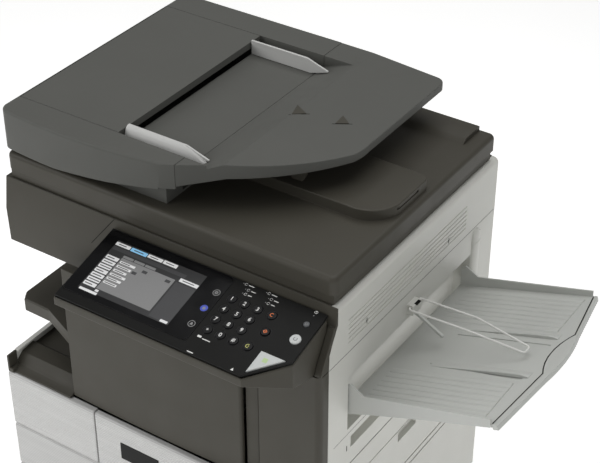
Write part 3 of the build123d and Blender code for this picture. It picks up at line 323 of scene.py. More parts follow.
class Coat(Enum):
    """Every finish on the machine."""

    DARK = MouldedPlastic("dark_plastic", (0.058, 0.054, 0.043), 0.46, specular=0.22)
    # Lighter, greyer copy of the dark plastic for the feeder: painted light, the brightness its tops catch
    # from above.
    DARK_TOP = MouldedPlastic("dark_top", (0.094, 0.095, 0.087), 0.50, specular=0.2)
    # Near-black for dark joints and slots, and for the painted shadow lines along the tray's paper ramps.
    DARK_SEAM = MouldedPlastic("inner_black", (0.008, 0.008, 0.007), 0.7, mottle=0.2, specular=0.1)
    WHITE = MouldedPlastic("white_cover", (0.60, 0.60, 0.56), 0.42, grain_depth=0.00002, mottle=0.02)
    # Its second colour is painted shade for the valleys between the fine lines.
    STRIPED = PinstripedPlastic("striped_white", (0.62, 0.62, 0.61), (0.46, 0.46, 0.45))
    # Lighter copy of the striped white for the raised lines: painted highlight where they catch the light.
    PALE_RIB = MouldedPlastic("striped_white", (0.72, 0.72, 0.71), 0.42, mottle=0.03)
    TRAY = MouldedPlastic("tray_grey", (0.50, 0.51, 0.485), 0.40, grain_depth=0.00002, mottle=0.03)
    PANEL = MouldedPlastic("panel_black", (0.009, 0.009, 0.0085), 0.42, grains=1800.0, mottle=0.12,
                           specular=0.12)
    SCREEN = MouldedPlastic("screen_gloss", (0.003, 0.003, 0.0035), 0.18, grain_depth=0.0, mottle=0.3,
                            specular=0.2, coat=0.15)
    KEY = MouldedPlastic("key_black", (0.004, 0.004, 0.0045), 0.34, mottle=0.2, specular=0.2)
    KEY_RIM = MouldedPlastic("key_black", (0.016, 0.016, 0.017), 0.35, mottle=0.1, specular=0.3)
    KEY_PALE = MouldedPlastic("key_grey", (0.54, 0.56, 0.55), 0.36, mottle=0.04)
    KEY_DIM = MouldedPlastic("key_grey", (0.10, 0.105, 0.11), 0.36, mottle=0.08, specular=0.3)
    PRINT_WHITE = MouldedPlastic("guide_grey", (0.74, 0.74, 0.72), 0.5, mottle=0.05)
    PRINT_GREY = MouldedPlastic("guide_grey", (0.24, 0.24, 0.24), 0.5, mottle=0.08)
    PRINT_ORANGE = MouldedPlastic("guide_grey", (0.82, 0.20, 0.06), 0.5, mottle=0.06)
    PRINT_YELLOW = MouldedPlastic("guide_grey", (0.66, 0.66, 0.20), 0.5, mottle=0.06)
    PRINT_GREEN = MouldedPlastic("guide_grey", (0.46, 0.60, 0.30), 0.45, mottle=0.06)
    GUIDE = MouldedPlastic("guide_grey", (0.52, 0.52, 0.505), 0.40, mottle=0.04)
    WIRE = MouldedPlastic("wire_grey", (0.72, 0.72, 0.69), 0.28, grain_depth=0.00001, mottle=0.04)
    INNER_BLACK = MouldedPlastic("inner_black", (0.022, 0.022, 0.023), 0.5, mottle=0.15, specular=0.3)
    INNER_GREY = MouldedPlastic("inner_grey", (0.23, 0.235, 0.24), 0.45, mottle=0.08)
    STEEL = SheetSteel("frame_steel", (0.52, 0.53, 0.54))
    SCREW = SheetSteel("screw_steel", (0.50, 0.50, 0.49), 0.28)
    RUBBER = Rubber("rubber", (0.022, 0.022, 0.022))
    GLASS = FloatGlass("glass", (0.80, 0.90, 0.87))
    FOAM = FoamSheet("pad_white", (0.84, 0.84, 0.82))
    LCD_BACK = LitPrint("screen_gloss", (0.010, 0.010, 0.011), 0.2)
    LCD_DARK = LitPrint("screen_gloss", (0.030, 0.030, 0.032), 0.3)
    LCD_GREY = LitPrint("screen_gloss", (0.17, 0.17, 0.17), 0.30)
    LCD_WHITE = LitPrint("screen_gloss", (0.62, 0.62, 0.62), 0.30)
    LCD_BLUE = LitPrint("screen_gloss", (0.20, 0.44, 0.66), 0.40)
    LCD_ICON_BLUE = LitPrint("screen_gloss", (0.03, 0.05, 0.30), 0.6)

    @property
    def material(self) -> bpy.types.Material:
        """The finish's material, made the first time it is asked for."""
        name = f"{self.name.lower()}_finish"
        return bpy.data.materials.get(name) or self.value.material(name)


# ---------------------------------------------------------------- working planes and shapes
@dataclass(frozen=True)
class Slope:
    """A tilted working plane, drawn on in millimetres."""

    origin: Vector
    tilt: float
    axis: str

    @property
    def matrix(self) -> Matrix:
        """From millimetres on the plane to metres in the frame."""
        turned = Matrix.Rotation(self.tilt, 4, self.axis)
        return Matrix.Translation(self.origin) @ turned @ Matrix.Scale(MM, 4)

    def middle_of(self, node: str) -> Vector:
        """The middle of a CAD node, in millimetres on the plane."""
        low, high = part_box(node)
        return self.matrix.inverted() @ ((low + high) / 2)


LEVEL = Slope(Vector((0.0, 0.0, 0.0)), 0.0, "X")


def rectangle(x0: float, x1: float, y0: float, y1: float, radius: float = 0.0, steps: int = 4) -> list[Point]:
    """Outline of a rectangle.

    Args:
        x0: left side.
        x1: right side.
        y0: near side.
        y1: far side.
        radius: radius of its corners.
        steps: sides to each corner.

    Returns:
        Its points, anticlockwise.
    """
    if radius <= 0.0:
        return [(x0, y0), (x1, y0), (x1, y1), (x0, y1)]
    points = []
    centres = [(x1 - radius, y1 - radius), (x0 + radius, y1 - radius),
               (x0 + radius, y0 + radius), (x1 - radius, y0 + radius)]
    for quarter, (cx, cy) in enumerate(centres):
        for step in range(steps + 1):
            angle = math.pi / 2 * (quarter + step / steps)
            points.append((cx + radius * math.cos(angle), cy + radius * math.sin(angle)))
    return points


def arc_band(x: float, y: float, inner: float, outer: float, start: float, end: float,
             steps: int = 24) -> list[Point]:
    """Outline of a curved band.

    Args:
        x: centre, across.
        y: centre, along.
        inner: inner radius.
        outer: outer radius.
        start: first angle in degrees.
        end: last angle in degrees.
        steps: sides along the band.

    Returns:
        Its points.
    """
    angles = [math.radians(start + (end - start) * step / steps) for step in range(steps + 1)]
    far = [(x + outer * math.cos(a), y + outer * math.sin(a)) for a in angles]
    near = [(x + inner * math.cos(a), y + inner * math.sin(a)) for a in reversed(angles)]
    return far + near


def circle(x: float, y: float, radius: float, height: float, sides: int) -> list[Vector]:
    """Level circle of points.

    Args:
        x: centre, across.
        y: centre, along.
        radius: its radius.
        height: its height.
        sides: how many points.

    Returns:
        The points, anticlockwise.
    """
    turn = [2 * math.pi * i / sides for i in range(sides)]
    return [Vector((x + radius * math.cos(a), y + radius * math.sin(a), height)) for a in turn]


def new_piece(name: str, mesh: bpy.types.Mesh) -> Piece:
    """Put a mesh in the scene as an object at the origin."""
    piece = bpy.data.objects.new(name, mesh)
    bpy.context.scene.collection.objects.link(piece)
    return piece


def settled(piece: Piece) -> Piece:
    """Turn an object and its modifiers into one plain mesh.

    Args:
        piece: the object, which is removed.

    Returns:
        A new object with the same name and the finished mesh.
    """
    graph = bpy.context.evaluated_depsgraph_get()
    mesh = bpy.data.meshes.new_from_object(piece.evaluated_get(graph))
    name = piece.name
    bpy.data.objects.remove(piece)
    mesh.name = name
    return new_piece(name, mesh)


def rounded_over(piece: Piece, width: float, segments: int, angle: float = 33.0) -> Piece:
    """Round a piece's sharp edges and let its flat faces shade flat.

    Args:
        piece: the object.
        width: the rounding in millimetres; none at 0.
        segments: facets across the rounding.
        angle: edges sharper than this are rounded, in degrees.

    Returns:
        The finished object.
    """
    piece.data.polygons.foreach_set("use_smooth", [True] * len(piece.data.polygons))
    if width > 0.0:
        bevel = piece.modifiers.new("rounding", "BEVEL")
        bevel.width = width * MM
        bevel.segments = segments
        bevel.limit_method = "ANGLE"
        bevel.angle_limit = math.radians(angle)
        bevel.use_clamp_overlap = False
    piece.data.set_sharp_from_angle(angle=math.radians(min(angle, 33.0)))
    even = piece.modifiers.new("even_shading", "WEIGHTED_NORMAL")
    even.keep_sharp = width <= 0.0
    even.weight = 80
    return settled(piece)


WELD = 0.00001
COPLANAR = math.radians(0.4)


def moulded_copy(node: str, width: float, segments: int = 2, angle: float = 33.0) -> Piece:
    """A CAD node's shape as a clean moulding with rounded edges.

    Args:
        node: the CAD node.
        width: the rounding in millimetres.
        segments: facets across the rounding.
        angle: edges sharper than this are rounded, in degrees.

    Returns:
        The new object, named after the node.
    """
    shape = bmesh.new()
    shape.from_mesh(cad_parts[node].data)
    bmesh.ops.remove_doubles(shape, verts=shape.verts, dist=WELD)
    bmesh.ops.dissolve_limit(shape, angle_limit=COPLANAR, verts=shape.verts, edges=shape.edges)
    mesh = bpy.data.meshes.new(f"{node}_moulding")
    shape.to_mesh(mesh)
    shape.free()
    return rounded_over(new_piece(mesh.name, mesh), width, segments, angle)


@dataclass
class Moulding:
    """A piece put together from closed shapes drawn in millimetres on one plane."""

    name: str
    plane: Slope = LEVEL
    shape: bmesh.types.BMesh = field(default_factory=bmesh.new)

    def hull(self, rings: list[list[Vector]]) -> None:
        """Join closed rings of points into a closed skin.

        Args:
            rings: rings with the same number of points, from one end to the other.
        """
        place = self.plane.matrix
        layers = [[self.shape.verts.new(place @ point) for point in ring] for ring in rings]
        count = len(rings[0])
        for lower, upper in zip(layers, layers[1:]):
            for i in range(count):
                j = (i + 1) % count
                self.shape.faces.new((lower[i], lower[j], upper[j], upper[i]))
        self.shape.faces.new(list(reversed(layers[0])))
        self.shape.faces.new(layers[-1])

    def prism(self, outline: list[Point], low: float, high: float) -> None:
        """Raise an outline between two heights off the plane."""
        self.hull([[Vector((x, y, h)) for x, y in outline] for h in (low, high)])

    def ring(self, x: float, y: float, inner: float, outer: float, low: float, high: float,
             sides: int = 40) -> None:
        """Add a flat ring.

        Args:
            x: centre, across.
            y: centre, along.
            inner: inner radius.
            outer: outer radius.
            low: lower height.
            high: upper height.
            sides: facets round it.
        """
        place = self.plane.matrix
        loops = []
        for radius, height in ((inner, low), (outer, low), (outer, high), (inner, high)):
            level = circle(x, y, radius, height, sides)
            loops.append([self.shape.verts.new(place @ point) for point in level])
        for near, far in zip(loops, loops[1:] + loops[:1]):
            for i in range(sides):
                j = (i + 1) % sides
                self.shape.faces.new((near[i], near[j], far[j], far[i]))

    def dome(self, x: float, y: float, radius: float, low: float, high: float, sides: int = 24) -> None:
        """Add a low rounded button.

        Args:
            x: centre, across.
            y: centre, along.
            radius: its radius.
            low: its foot.
            high: its crown.
            sides: facets round it.
        """
        rings = []
        for share, rise in ((1.0, 0.0), (1.0, 0.5), (0.86, 0.82), (0.55, 0.96), (0.2, 1.0)):
            rings.append(circle(x, y, radius * share, low + (high - low) * rise, sides))
        self.hull(rings)

    def made(self, width: float = 0.0, segments: int = 2) -> Piece:
        """Close the work and round its edges.

        Args:
            width: the rounding in millimetres.
            segments: facets across the rounding.

        Returns:
            The finished object.
        """
        bmesh.ops.recalc_face_normals(self.shape, faces=self.shape.faces)
        mesh = bpy.data.meshes.new(self.name)
        self.shape.to_mesh(mesh)
        self.shape.free()
        return rounded_over(new_piece(self.name, mesh), width, segments)


def glyph(name: str, text: str, height: float, thick: float, place: Matrix) -> Piece:
    """A printed numeral or sign as a thin solid.

    Args:
        name: the piece's name.
        text: the numeral.
        height: height of a capital, in millimetres.
        thick: thickness of the print, in millimetres.
        place: where its middle lies, from millimetres to metres.

    Returns:
        The finished object.
    """
    curve = bpy.data.curves.new(name, "FONT")
    curve.body = text
    curve.size = height / 0.7
    curve.extrude = thick / 2
    curve.offset = 0.12
    curve.resolution_u = 3
    piece = settled(new_piece(name, curve))
    points = [vertex.co for vertex in piece.data.vertices]
    across = (min(p.x for p in points) + max(p.x for p in points)) / 2
    along = (min(p.y for p in points) + max(p.y for p in points)) / 2
    piece.data.transform(place @ Matrix.Translation((-across, -along, 0.0)))
    return piece


# ---------------------------------------------------------------- repeated shapes
class PatternTree(NodeBoard):
    """A geometry node tree with named sizes, which makes one mesh of a repeated shape."""

    def __init__(self, name: str) -> None:
        """Start a tree.

        Args:
            name: the tree's name.
        """
        self.tree = bpy.data.node_groups.new(name, "GeometryNodeTree")
        self.tree.interface.new_socket(name="Geometry", in_out="OUTPUT", socket_type="NodeSocketGeometry")
        self.entry = self.add("NodeGroupInput")
        self.keys: dict[str, str] = {}
        self.points = self.size("Points", "NodeSocketGeometry")

    def size(self, name: str, kind: str = "NodeSocketFloat") -> Socket:
        """Add a named input.

        Args:
            name: the input's name.
            kind: its socket type.

        Returns:
            The socket inside the tree.
        """
        item = self.tree.interface.new_socket(name=name, in_out="INPUT", socket_type=kind)
        self.keys[name] = item.identifier
        return self.entry.outputs[name]

    def circle(self, sides: int, radius: Socket | None = None) -> bpy.types.Node:
        """Add a circle curve.

        Args:
            sides: points round it.
            radius: its radius; 1 where there is none.

        Returns:
            The circle's node.
        """
        node = self.add("GeometryNodeCurvePrimitiveCircle", mode="RADIUS")
        node.inputs["Resolution"].default_value = sides
        node.inputs["Radius"].default_value = 1.0
        if radius is not None:
            self.link(radius, node.inputs["Radius"])
        return node

    def scatter(self, points: Socket, shape: Socket, turn: Socket | None = None) -> Socket:
        """Put a copy of a shape at each point.

        Args:
            points: the points.
            shape: the shape.
            turn: how each copy is turned.

        Returns:
            The copies.
        """
        copies = self.add("GeometryNodeInstanceOnPoints")
        self.link(points, copies.inputs["Points"])
        self.link(shape, copies.inputs["Instance"])
        if turn is not None:
            self.link(turn, copies.inputs["Rotation"])
        return copies.outputs["Instances"]

    def close(self, geometry: Socket) -> None:
        """End the tree in plain smooth mesh with a finish.

        Args:
            geometry: what the tree has made.
        """
        smooth = self.add("GeometryNodeSetShadeSmooth")
        self.link(geometry, smooth.inputs["Geometry"])
        realize = self.add("GeometryNodeRealizeInstances")
        self.link(smooth.outputs["Geometry"], realize.inputs["Geometry"])
        finish = self.add("GeometryNodeSetMaterial")
        self.link(realize.outputs["Geometry"], finish.inputs["Geometry"])
        self.link(self.size("Finish", "NodeSocketMaterial"), finish.inputs["Material"])
        output = self.add("NodeGroupOutput")
        self.link(finish.outputs["Geometry"], output.inputs["Geometry"])

    def piece(self, name: str, coat: Coat, points: list[Vector], **sizes: object) -> Piece:
        """Run the tree and keep its result as a plain mesh.

        Args:
            name: the piece's name.
            coat: its finish.
            points: places in the frame for the trees that take them.
            sizes: values of the named inputs, with spaces written as underscores.

        Returns:
            The finished object.
        """
        mesh = bpy.data.meshes.new(name)
        mesh.from_pydata([tuple(point) for point in points], [], [])
        host = new_piece(name, mesh)
        modifier = host.modifiers.new("pattern", "NODES")
        modifier.node_group = self.tree
        modifier[self.keys["Finish"]] = coat.material
        for key, value in sizes.items():
            modifier[self.keys[key.replace("_", " ")]] = value
        made = settled(host)
        made.data.set_sharp_from_angle(angle=math.radians(40.0))
        return made


def swept_rows(work: PatternTree, profile: Socket) -> PatternTree:
    """Sweep a profile along Run and repeat it, one Step apart.

    Args:
        work: the tree.
        profile: the profile's curve.

    Returns:
        The finished tree.
    """
    row = work.add("GeometryNodeMeshLine", mode="OFFSET", count_mode="TOTAL")
    work.link(work.size("Rows", "NodeSocketInt"), row.inputs["Count"])
    work.link(work.size("Start", "NodeSocketVector"), row.inputs["Start Location"])
    work.link(work.size("Step", "NodeSocketVector"), row.inputs["Offset"])
    spine = work.add("GeometryNodeCurvePrimitiveLine", mode="POINTS")
    work.link(work.size("Run", "NodeSocketVector"), spine.inputs["End"])
    bar = work.add("GeometryNodeCurveToMesh")
    bar.inputs["Fill Caps"].default_value = True
    work.link(spine.outputs["Curve"], bar.inputs["Curve"])
    work.link(profile, bar.inputs["Profile Curve"])
    work.close(work.scatter(row.outputs["Mesh"], bar.outputs["Mesh"]))
    return work


def rib_tree() -> PatternTree:
    """Parallel round-backed ribs, each along Run, one Step apart."""
    work = PatternTree("ribs")
    section = work.circle(8, work.size("Radius"))
    return swept_rows(work, section.outputs["Curve"])


def flute_tree() -> PatternTree:
    """Broad shallow flutes, each along Run, one Step apart."""
    work = PatternTree("flutes")
    section = work.circle(12)
    oval = work.add("ShaderNodeCombineXYZ")
    work.link(work.size("Half width"), oval.inputs["X"])
    work.link(work.size("Rise"), oval.inputs["Y"])
    oval.inputs["Z"].default_value = 1.0
    pressed = work.add("GeometryNodeTransform")
    work.link(section.outputs["Curve"], pressed.inputs["Geometry"])
    work.link(oval.outputs["Vector"], pressed.inputs["Scale"])
    return swept_rows(work, pressed.outputs["Geometry"])


def screw_tree() -> PatternTree:
    """Cross-recess screw heads at given points, turned by Facing."""
    work = PatternTree("screws")
    radius = work.size("Head radius")
    height = work.size("Head height")
    head = work.add("GeometryNodeMeshCone")
    head.inputs["Vertices"].default_value = 28
    work.link(radius, head.inputs["Radius Bottom"])
    crown = work.add("ShaderNodeMath", operation="MULTIPLY")
    crown.inputs[1].default_value = 0.72
    work.link(radius, crown.inputs[0])
    work.link(crown.outputs["Value"], head.inputs["Radius Top"])
    work.link(height, head.inputs["Depth"])
    cut = work.add("GeometryNodeMeshBoolean", operation="DIFFERENCE")
    work.link(head.outputs["Mesh"], cut.inputs["Mesh 1"])
    arm_size = work.size("Cross size", "NodeSocketVector")
    arm = work.add("GeometryNodeMeshCube")
    work.link(arm_size, arm.inputs["Size"])
    for quarter in (0.0, math.pi / 2):
        place = work.add("GeometryNodeTransform")
        place.inputs["Rotation"].default_value = (0.0, 0.0, quarter)
        lift = work.add("ShaderNodeCombineXYZ")
        work.link(height, lift.inputs["Z"])
        work.link(lift.outputs["Vector"], place.inputs["Translation"])
        work.link(arm.outputs["Mesh"], place.inputs["Geometry"])
        work.link(place.outputs["Geometry"], cut.inputs["Mesh 2"])
    facing = work.size("Facing", "NodeSocketRotation")
    work.close(work.scatter(work.points, cut.outputs["Mesh"], facing))
    return work


def ring_tree() -> PatternTree:
    """Round beads at given points, lying on a slope turned by Facing."""
    work = PatternTree("key_rings")
    loop = work.circle(40, work.size("Ring radius"))
    section = work.circle(8, work.size("Bead radius"))
    bead = work.add("GeometryNodeCurveToMesh")
    work.link(loop.outputs["Curve"], bead.inputs["Curve"])
    work.link(section.outputs["Curve"], bead.inputs["Profile Curve"])
    facing = work.size("Facing", "NodeSocketRotation")
    work.close(work.scatter(work.points, bead.outputs["Mesh"], facing))
    return work


def blade_tree() -> PatternTree:
    """Leaning blades at given points."""
    work = PatternTree("blades")
    blade = work.add("GeometryNodeMeshCube")
    work.link(work.size("Blade size", "NodeSocketVector"), blade.inputs["Size"])
    lean = work.size("Lean", "NodeSocketRotation")
    work.close(work.scatter(work.points, blade.outputs["Mesh"], lean))
    return work


def tyre_tree() -> PatternTree:
    """Grip bars round a roller whose axis lies along Y."""
    work = PatternTree("tyre_grip")
    rim = work.add("GeometryNodeMeshCircle")
    rim.inputs["Vertices"].default_value = 30
    work.link(work.size("Rim radius"), rim.inputs["Radius"])
    bar = work.add("GeometryNodeMeshCube")
    work.link(work.size("Bar size", "NodeSocketVector"), bar.inputs["Size"])
    where = work.add("GeometryNodeInputPosition")
    turn = work.add("FunctionNodeAlignRotationToVector", axis="X")
    work.link(where.outputs["Position"], turn.inputs["Vector"])
    bars = work.scatter(rim.outputs["Mesh"], bar.outputs["Mesh"], turn.outputs["Rotation"])
    place = work.add("GeometryNodeTransform")
    place.inputs["Rotation"].default_value = (math.pi / 2, 0.0, 0.0)
    work.link(bars, place.inputs["Geometry"])
    work.link(work.size("Middle", "NodeSocketVector"), place.inputs["Translation"])
    work.close(place.outputs["Geometry"])
    return work


# ---------------------------------------------------------------- assemblies
@dataclass
class Assembly:
    """A group of pieces that is built, fitted to the frame and reported together."""

    fitted: list[str] = field(default_factory=list, init=False)

    def fit(self, piece: Piece, body: str, coat: Coat, *nodes: str) -> Piece:
        """Dress a piece and hang it on its body.

        Args:
            piece: the finished object.
            body: the CAD body that it rides on.
            coat: its finish.
            nodes: the CAD nodes that it stands for.

        Returns:
            The piece.
        """
        if not piece.data.materials:
            piece.data.materials.append(coat.material)
        piece.data.materials[0] = coat.material
        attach(piece, body)
        if nodes:
            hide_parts(*nodes)
        self.fitted.append(piece.name)
        return piece

    def dress(self, node: str, coat: Coat) -> None:
        """Give a CAD node that stays in view its finish."""
        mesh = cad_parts[node].data
        mesh.materials.clear()
        mesh.materials.append(coat.material)
        self.fitted.append(node)

    def recast(self, body: str, coat: Coat, rounding: float, *nodes: str, angle: float = 33.0) -> None:
        """Replace CAD nodes by mouldings with rounded edges.

        Args:
            body: the body that they ride on.
            coat: their finish.
            rounding: the rounding in millimetres.
            nodes: the CAD nodes.
            angle: edges sharper than this are rounded, in degrees.
        """
        for node in nodes:
            self.fit(moulded_copy(node, rounding, 2, angle), body, coat, node)

    def build(self) -> None:
        """Make every piece of the assembly."""
        raise NotImplementedError

    def report(self) -> None:
        """Log each piece."""
        for name in self.fitted:
            LOG.info("%s: %s", type(self).__name__, name)


@dataclass
class FrameWork(Assembly):
    """Steel base, feet and plinth."""

    def build(self) -> None:
        """Dress what stands inside the covers and round the plinth."""
        self.dress("base_frame", Coat.STEEL)
        self.recast("chassis", Coat.RUBBER, 1.5, "feet")
        self.recast("chassis", Coat.DARK, 0.8, "plinth")


@dataclass
class BodyCovers(Assembly):
    """The white outer covers, the dark pillar and the left white door panel."""

    seam: float = 0.7
    side_seams: tuple[float, ...] = (431.0, 367.5)
    upper_seam: float = 585.9
    rear_seam: tuple[float, float, float] = (208.0, 222.0, 431.0)
    groove: tuple[float, float, float, float] = (209.6, 210.6, 444.0, 572.0)
    latches: tuple[Point, ...] = ((-129.0, 611.0), (106.0, 611.0), (-176.0, 404.0))
    bulge_middle: float = 196.5
    bulge_width: float = 24.0
    bulge_rise: float = 6.0
    vent_columns: tuple[float, ...] = (-150.0, 150.0)
    vent_middle: float = 438.0
    vent_pitch: float = 11.0
    vent_rows: int = 9
    screw_columns: tuple[float, ...] = (-280.0, -60.0, 60.0, 280.0)
    screw_rows: tuple[float, ...] = (68.0, 328.0, 536.0)

    def build(self) -> None:
        """Make the covers and the small things on them."""
        self.recast("chassis", Coat.WHITE, 0.7, "left_cover", "right_cover", "rear_cover")
        self.recast("chassis", Coat.STRIPED, 0.8, "front_left_cover")
        self.recast("chassis", Coat.DARK, 0.8, "pillar_cover")
        self.side_lines()
        self.side_bulge()
        self.rear_fittings()

    @property
    def side(self) -> float:
        """The right-hand side face, in millimetres."""
        return min(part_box("right_cover")[1].x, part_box("scanner_side_cover")[1].x) / MM

    def side_lines(self) -> None:
        """Dark parting lines and latch slots on the right-hand covers."""
        side = self.side
        low, high = (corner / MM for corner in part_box("right_cover"))
        front, back = (corner.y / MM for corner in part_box("scanner_side_cover"))
        lines = Moulding("side_parting_lines")
        half = self.seam / 2
        for z in self.side_seams:
            lines.prism(rectangle(side - 0.3, side + 0.08, low.y + 32, high.y), z - half, z + half)
        y, foot, head = self.rear_seam
        lines.prism(rectangle(side - 0.3, side + 0.08, y - half, y + half), foot, head)
        seam = self.upper_seam
        lines.prism(rectangle(side - 0.6, side + 0.1, front, back - 1.0), seam - half, seam + half)
        y0, y1, foot, head = self.groove
        lines.prism(rectangle(side - 0.3, side + 0.12, y0, y1), foot, head)
        for y, z in self.latches:
            lines.prism(rectangle(side - 0.3, side + 0.12, y - 0.9, y + 0.9), z - 5.0, z + 5.0)
        self.fit(lines.made(), "chassis", Coat.DARK_SEAM)

    def half_round(self, z: float, rise: float, half: float) -> list[Vector]:
        """Level half-round section of the bead on the right-hand side.

        Args:
            z: its height.
            rise: how far it stands out.
            half: half its width.

        Returns:
            Its points in order.
        """
        root = self.side - 0.5
        y = self.bulge_middle
        turn = [math.pi * i / 12 for i in range(13)]
        return [Vector((root + rise * math.sin(a), y - half * math.cos(a), z)) for a in turn]

    def side_bulge(self) -> None:
        """Round-topped upright bead at the right rear."""
        bead = Moulding("side_bead")
        half = self.bulge_width / 2
        rise = self.bulge_rise
        stations = ((444.0, 1.0), (566.0, 1.0), (573.0, 0.92), (578.0, 0.72), (581.0, 0.42), (582.0, 0.12))
        bead.hull([self.half_round(z, rise * share, half * share) for z, share in stations])
        bead.hull([self.half_round(z, rise + 0.6, half + 0.5) for z in (556.0, 559.0)])
        self.fit(bead.made(), "chassis", Coat.WHITE)

    def rear_fittings(self) -> None:
        """Vent blades behind the rear cover's slots and the cover screws."""
        cover_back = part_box("rear_cover")[1].y
        foot = self.vent_middle - (self.vent_rows - 1) / 2 * self.vent_pitch
        points = [Vector((x * MM, cover_back - 0.0042, (foot + i * self.vent_pitch) * MM))
                  for x in self.vent_columns for i in range(self.vent_rows)]
        blades = blade_tree().piece("vent_blades", Coat.INNER_GREY, points,
                                    Blade_size=(0.119, 0.0055, 0.0009), Lean=(math.radians(-38.0), 0.0, 0.0))
        self.fit(blades, "chassis", Coat.INNER_GREY)
        points = [Vector((x * MM, cover_back, z * MM)) for z in self.screw_rows for x in self.screw_columns]
        screws = screw_tree().piece("cover_screws", Coat.SCREW, points, Head_radius=0.004, Head_height=0.0018,
                                    Cross_size=(0.0052, 0.0011, 0.0016), Facing=(-math.pi / 2, 0.0, 0.0))
        self.fit(screws, "chassis", Coat.SCREW, "screws")


@dataclass
class OutputSpace(Assembly):
    """Paper output space above the striped covers, and the print engine behind it."""

    def build(self) -> None:
        """Make the trays and dress the engine."""
        self.recast("chassis", Coat.DARK, 0.9, "inner_exit_tray", "separator_tray")
        self.recast("chassis", Coat.INNER_BLACK, 0.6, "fuser_unit", "toner_cartridge")
        self.recast("chassis", Coat.INNER_GREY, 0.6, "drum_unit")


@dataclass
class Scanner(Assembly):
    """Scanner housing under the platen cover."""

    crease_drop: float = 54.0
    crease_y: float = -215.0
    crease_lean: float = 8.5
    joint_x: tuple[float, float] = (-130.0, -88.5)

    def build(self) -> None:
        """Make the housing, glass, carriage and hinges."""
        self.recast("chassis", Coat.DARK, 0.9, "scanner_tub", "scanner_bezel")
        self.recast("chassis", Coat.WHITE, 0.35, "scanner_side_cover")
        self.dress("scan_glass", Coat.GLASS)
        self.recast("carriage", Coat.INNER_BLACK, 0.6, "scan_carriage")
        self.recast("chassis", Coat.STEEL, 0.4, "hinge_brackets")
        self.bezel_seam()

    def bezel_seam(self) -> None:
        """Slanting joint line on the left of the bezel, beside the panel."""
        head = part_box("scanner_bezel")[1].z / MM
        x0, x1 = self.joint_x
        top_y = self.crease_y + self.crease_lean
        line = Moulding("bezel_joint_line")
        section = ((0.0, -0.12), (1.3, -0.12), (1.3, 0.48), (0.0, 0.48))
        foot = [Vector((x0 + dx, self.crease_y + dy, head - self.crease_drop)) for dx, dy in section]
        top = [Vector((x1 + dx, top_y + dy, head - 0.5)) for dx, dy in section]
        line.hull([foot, top])
        self.fit(line.made(), "chassis", Coat.DARK_SEAM)


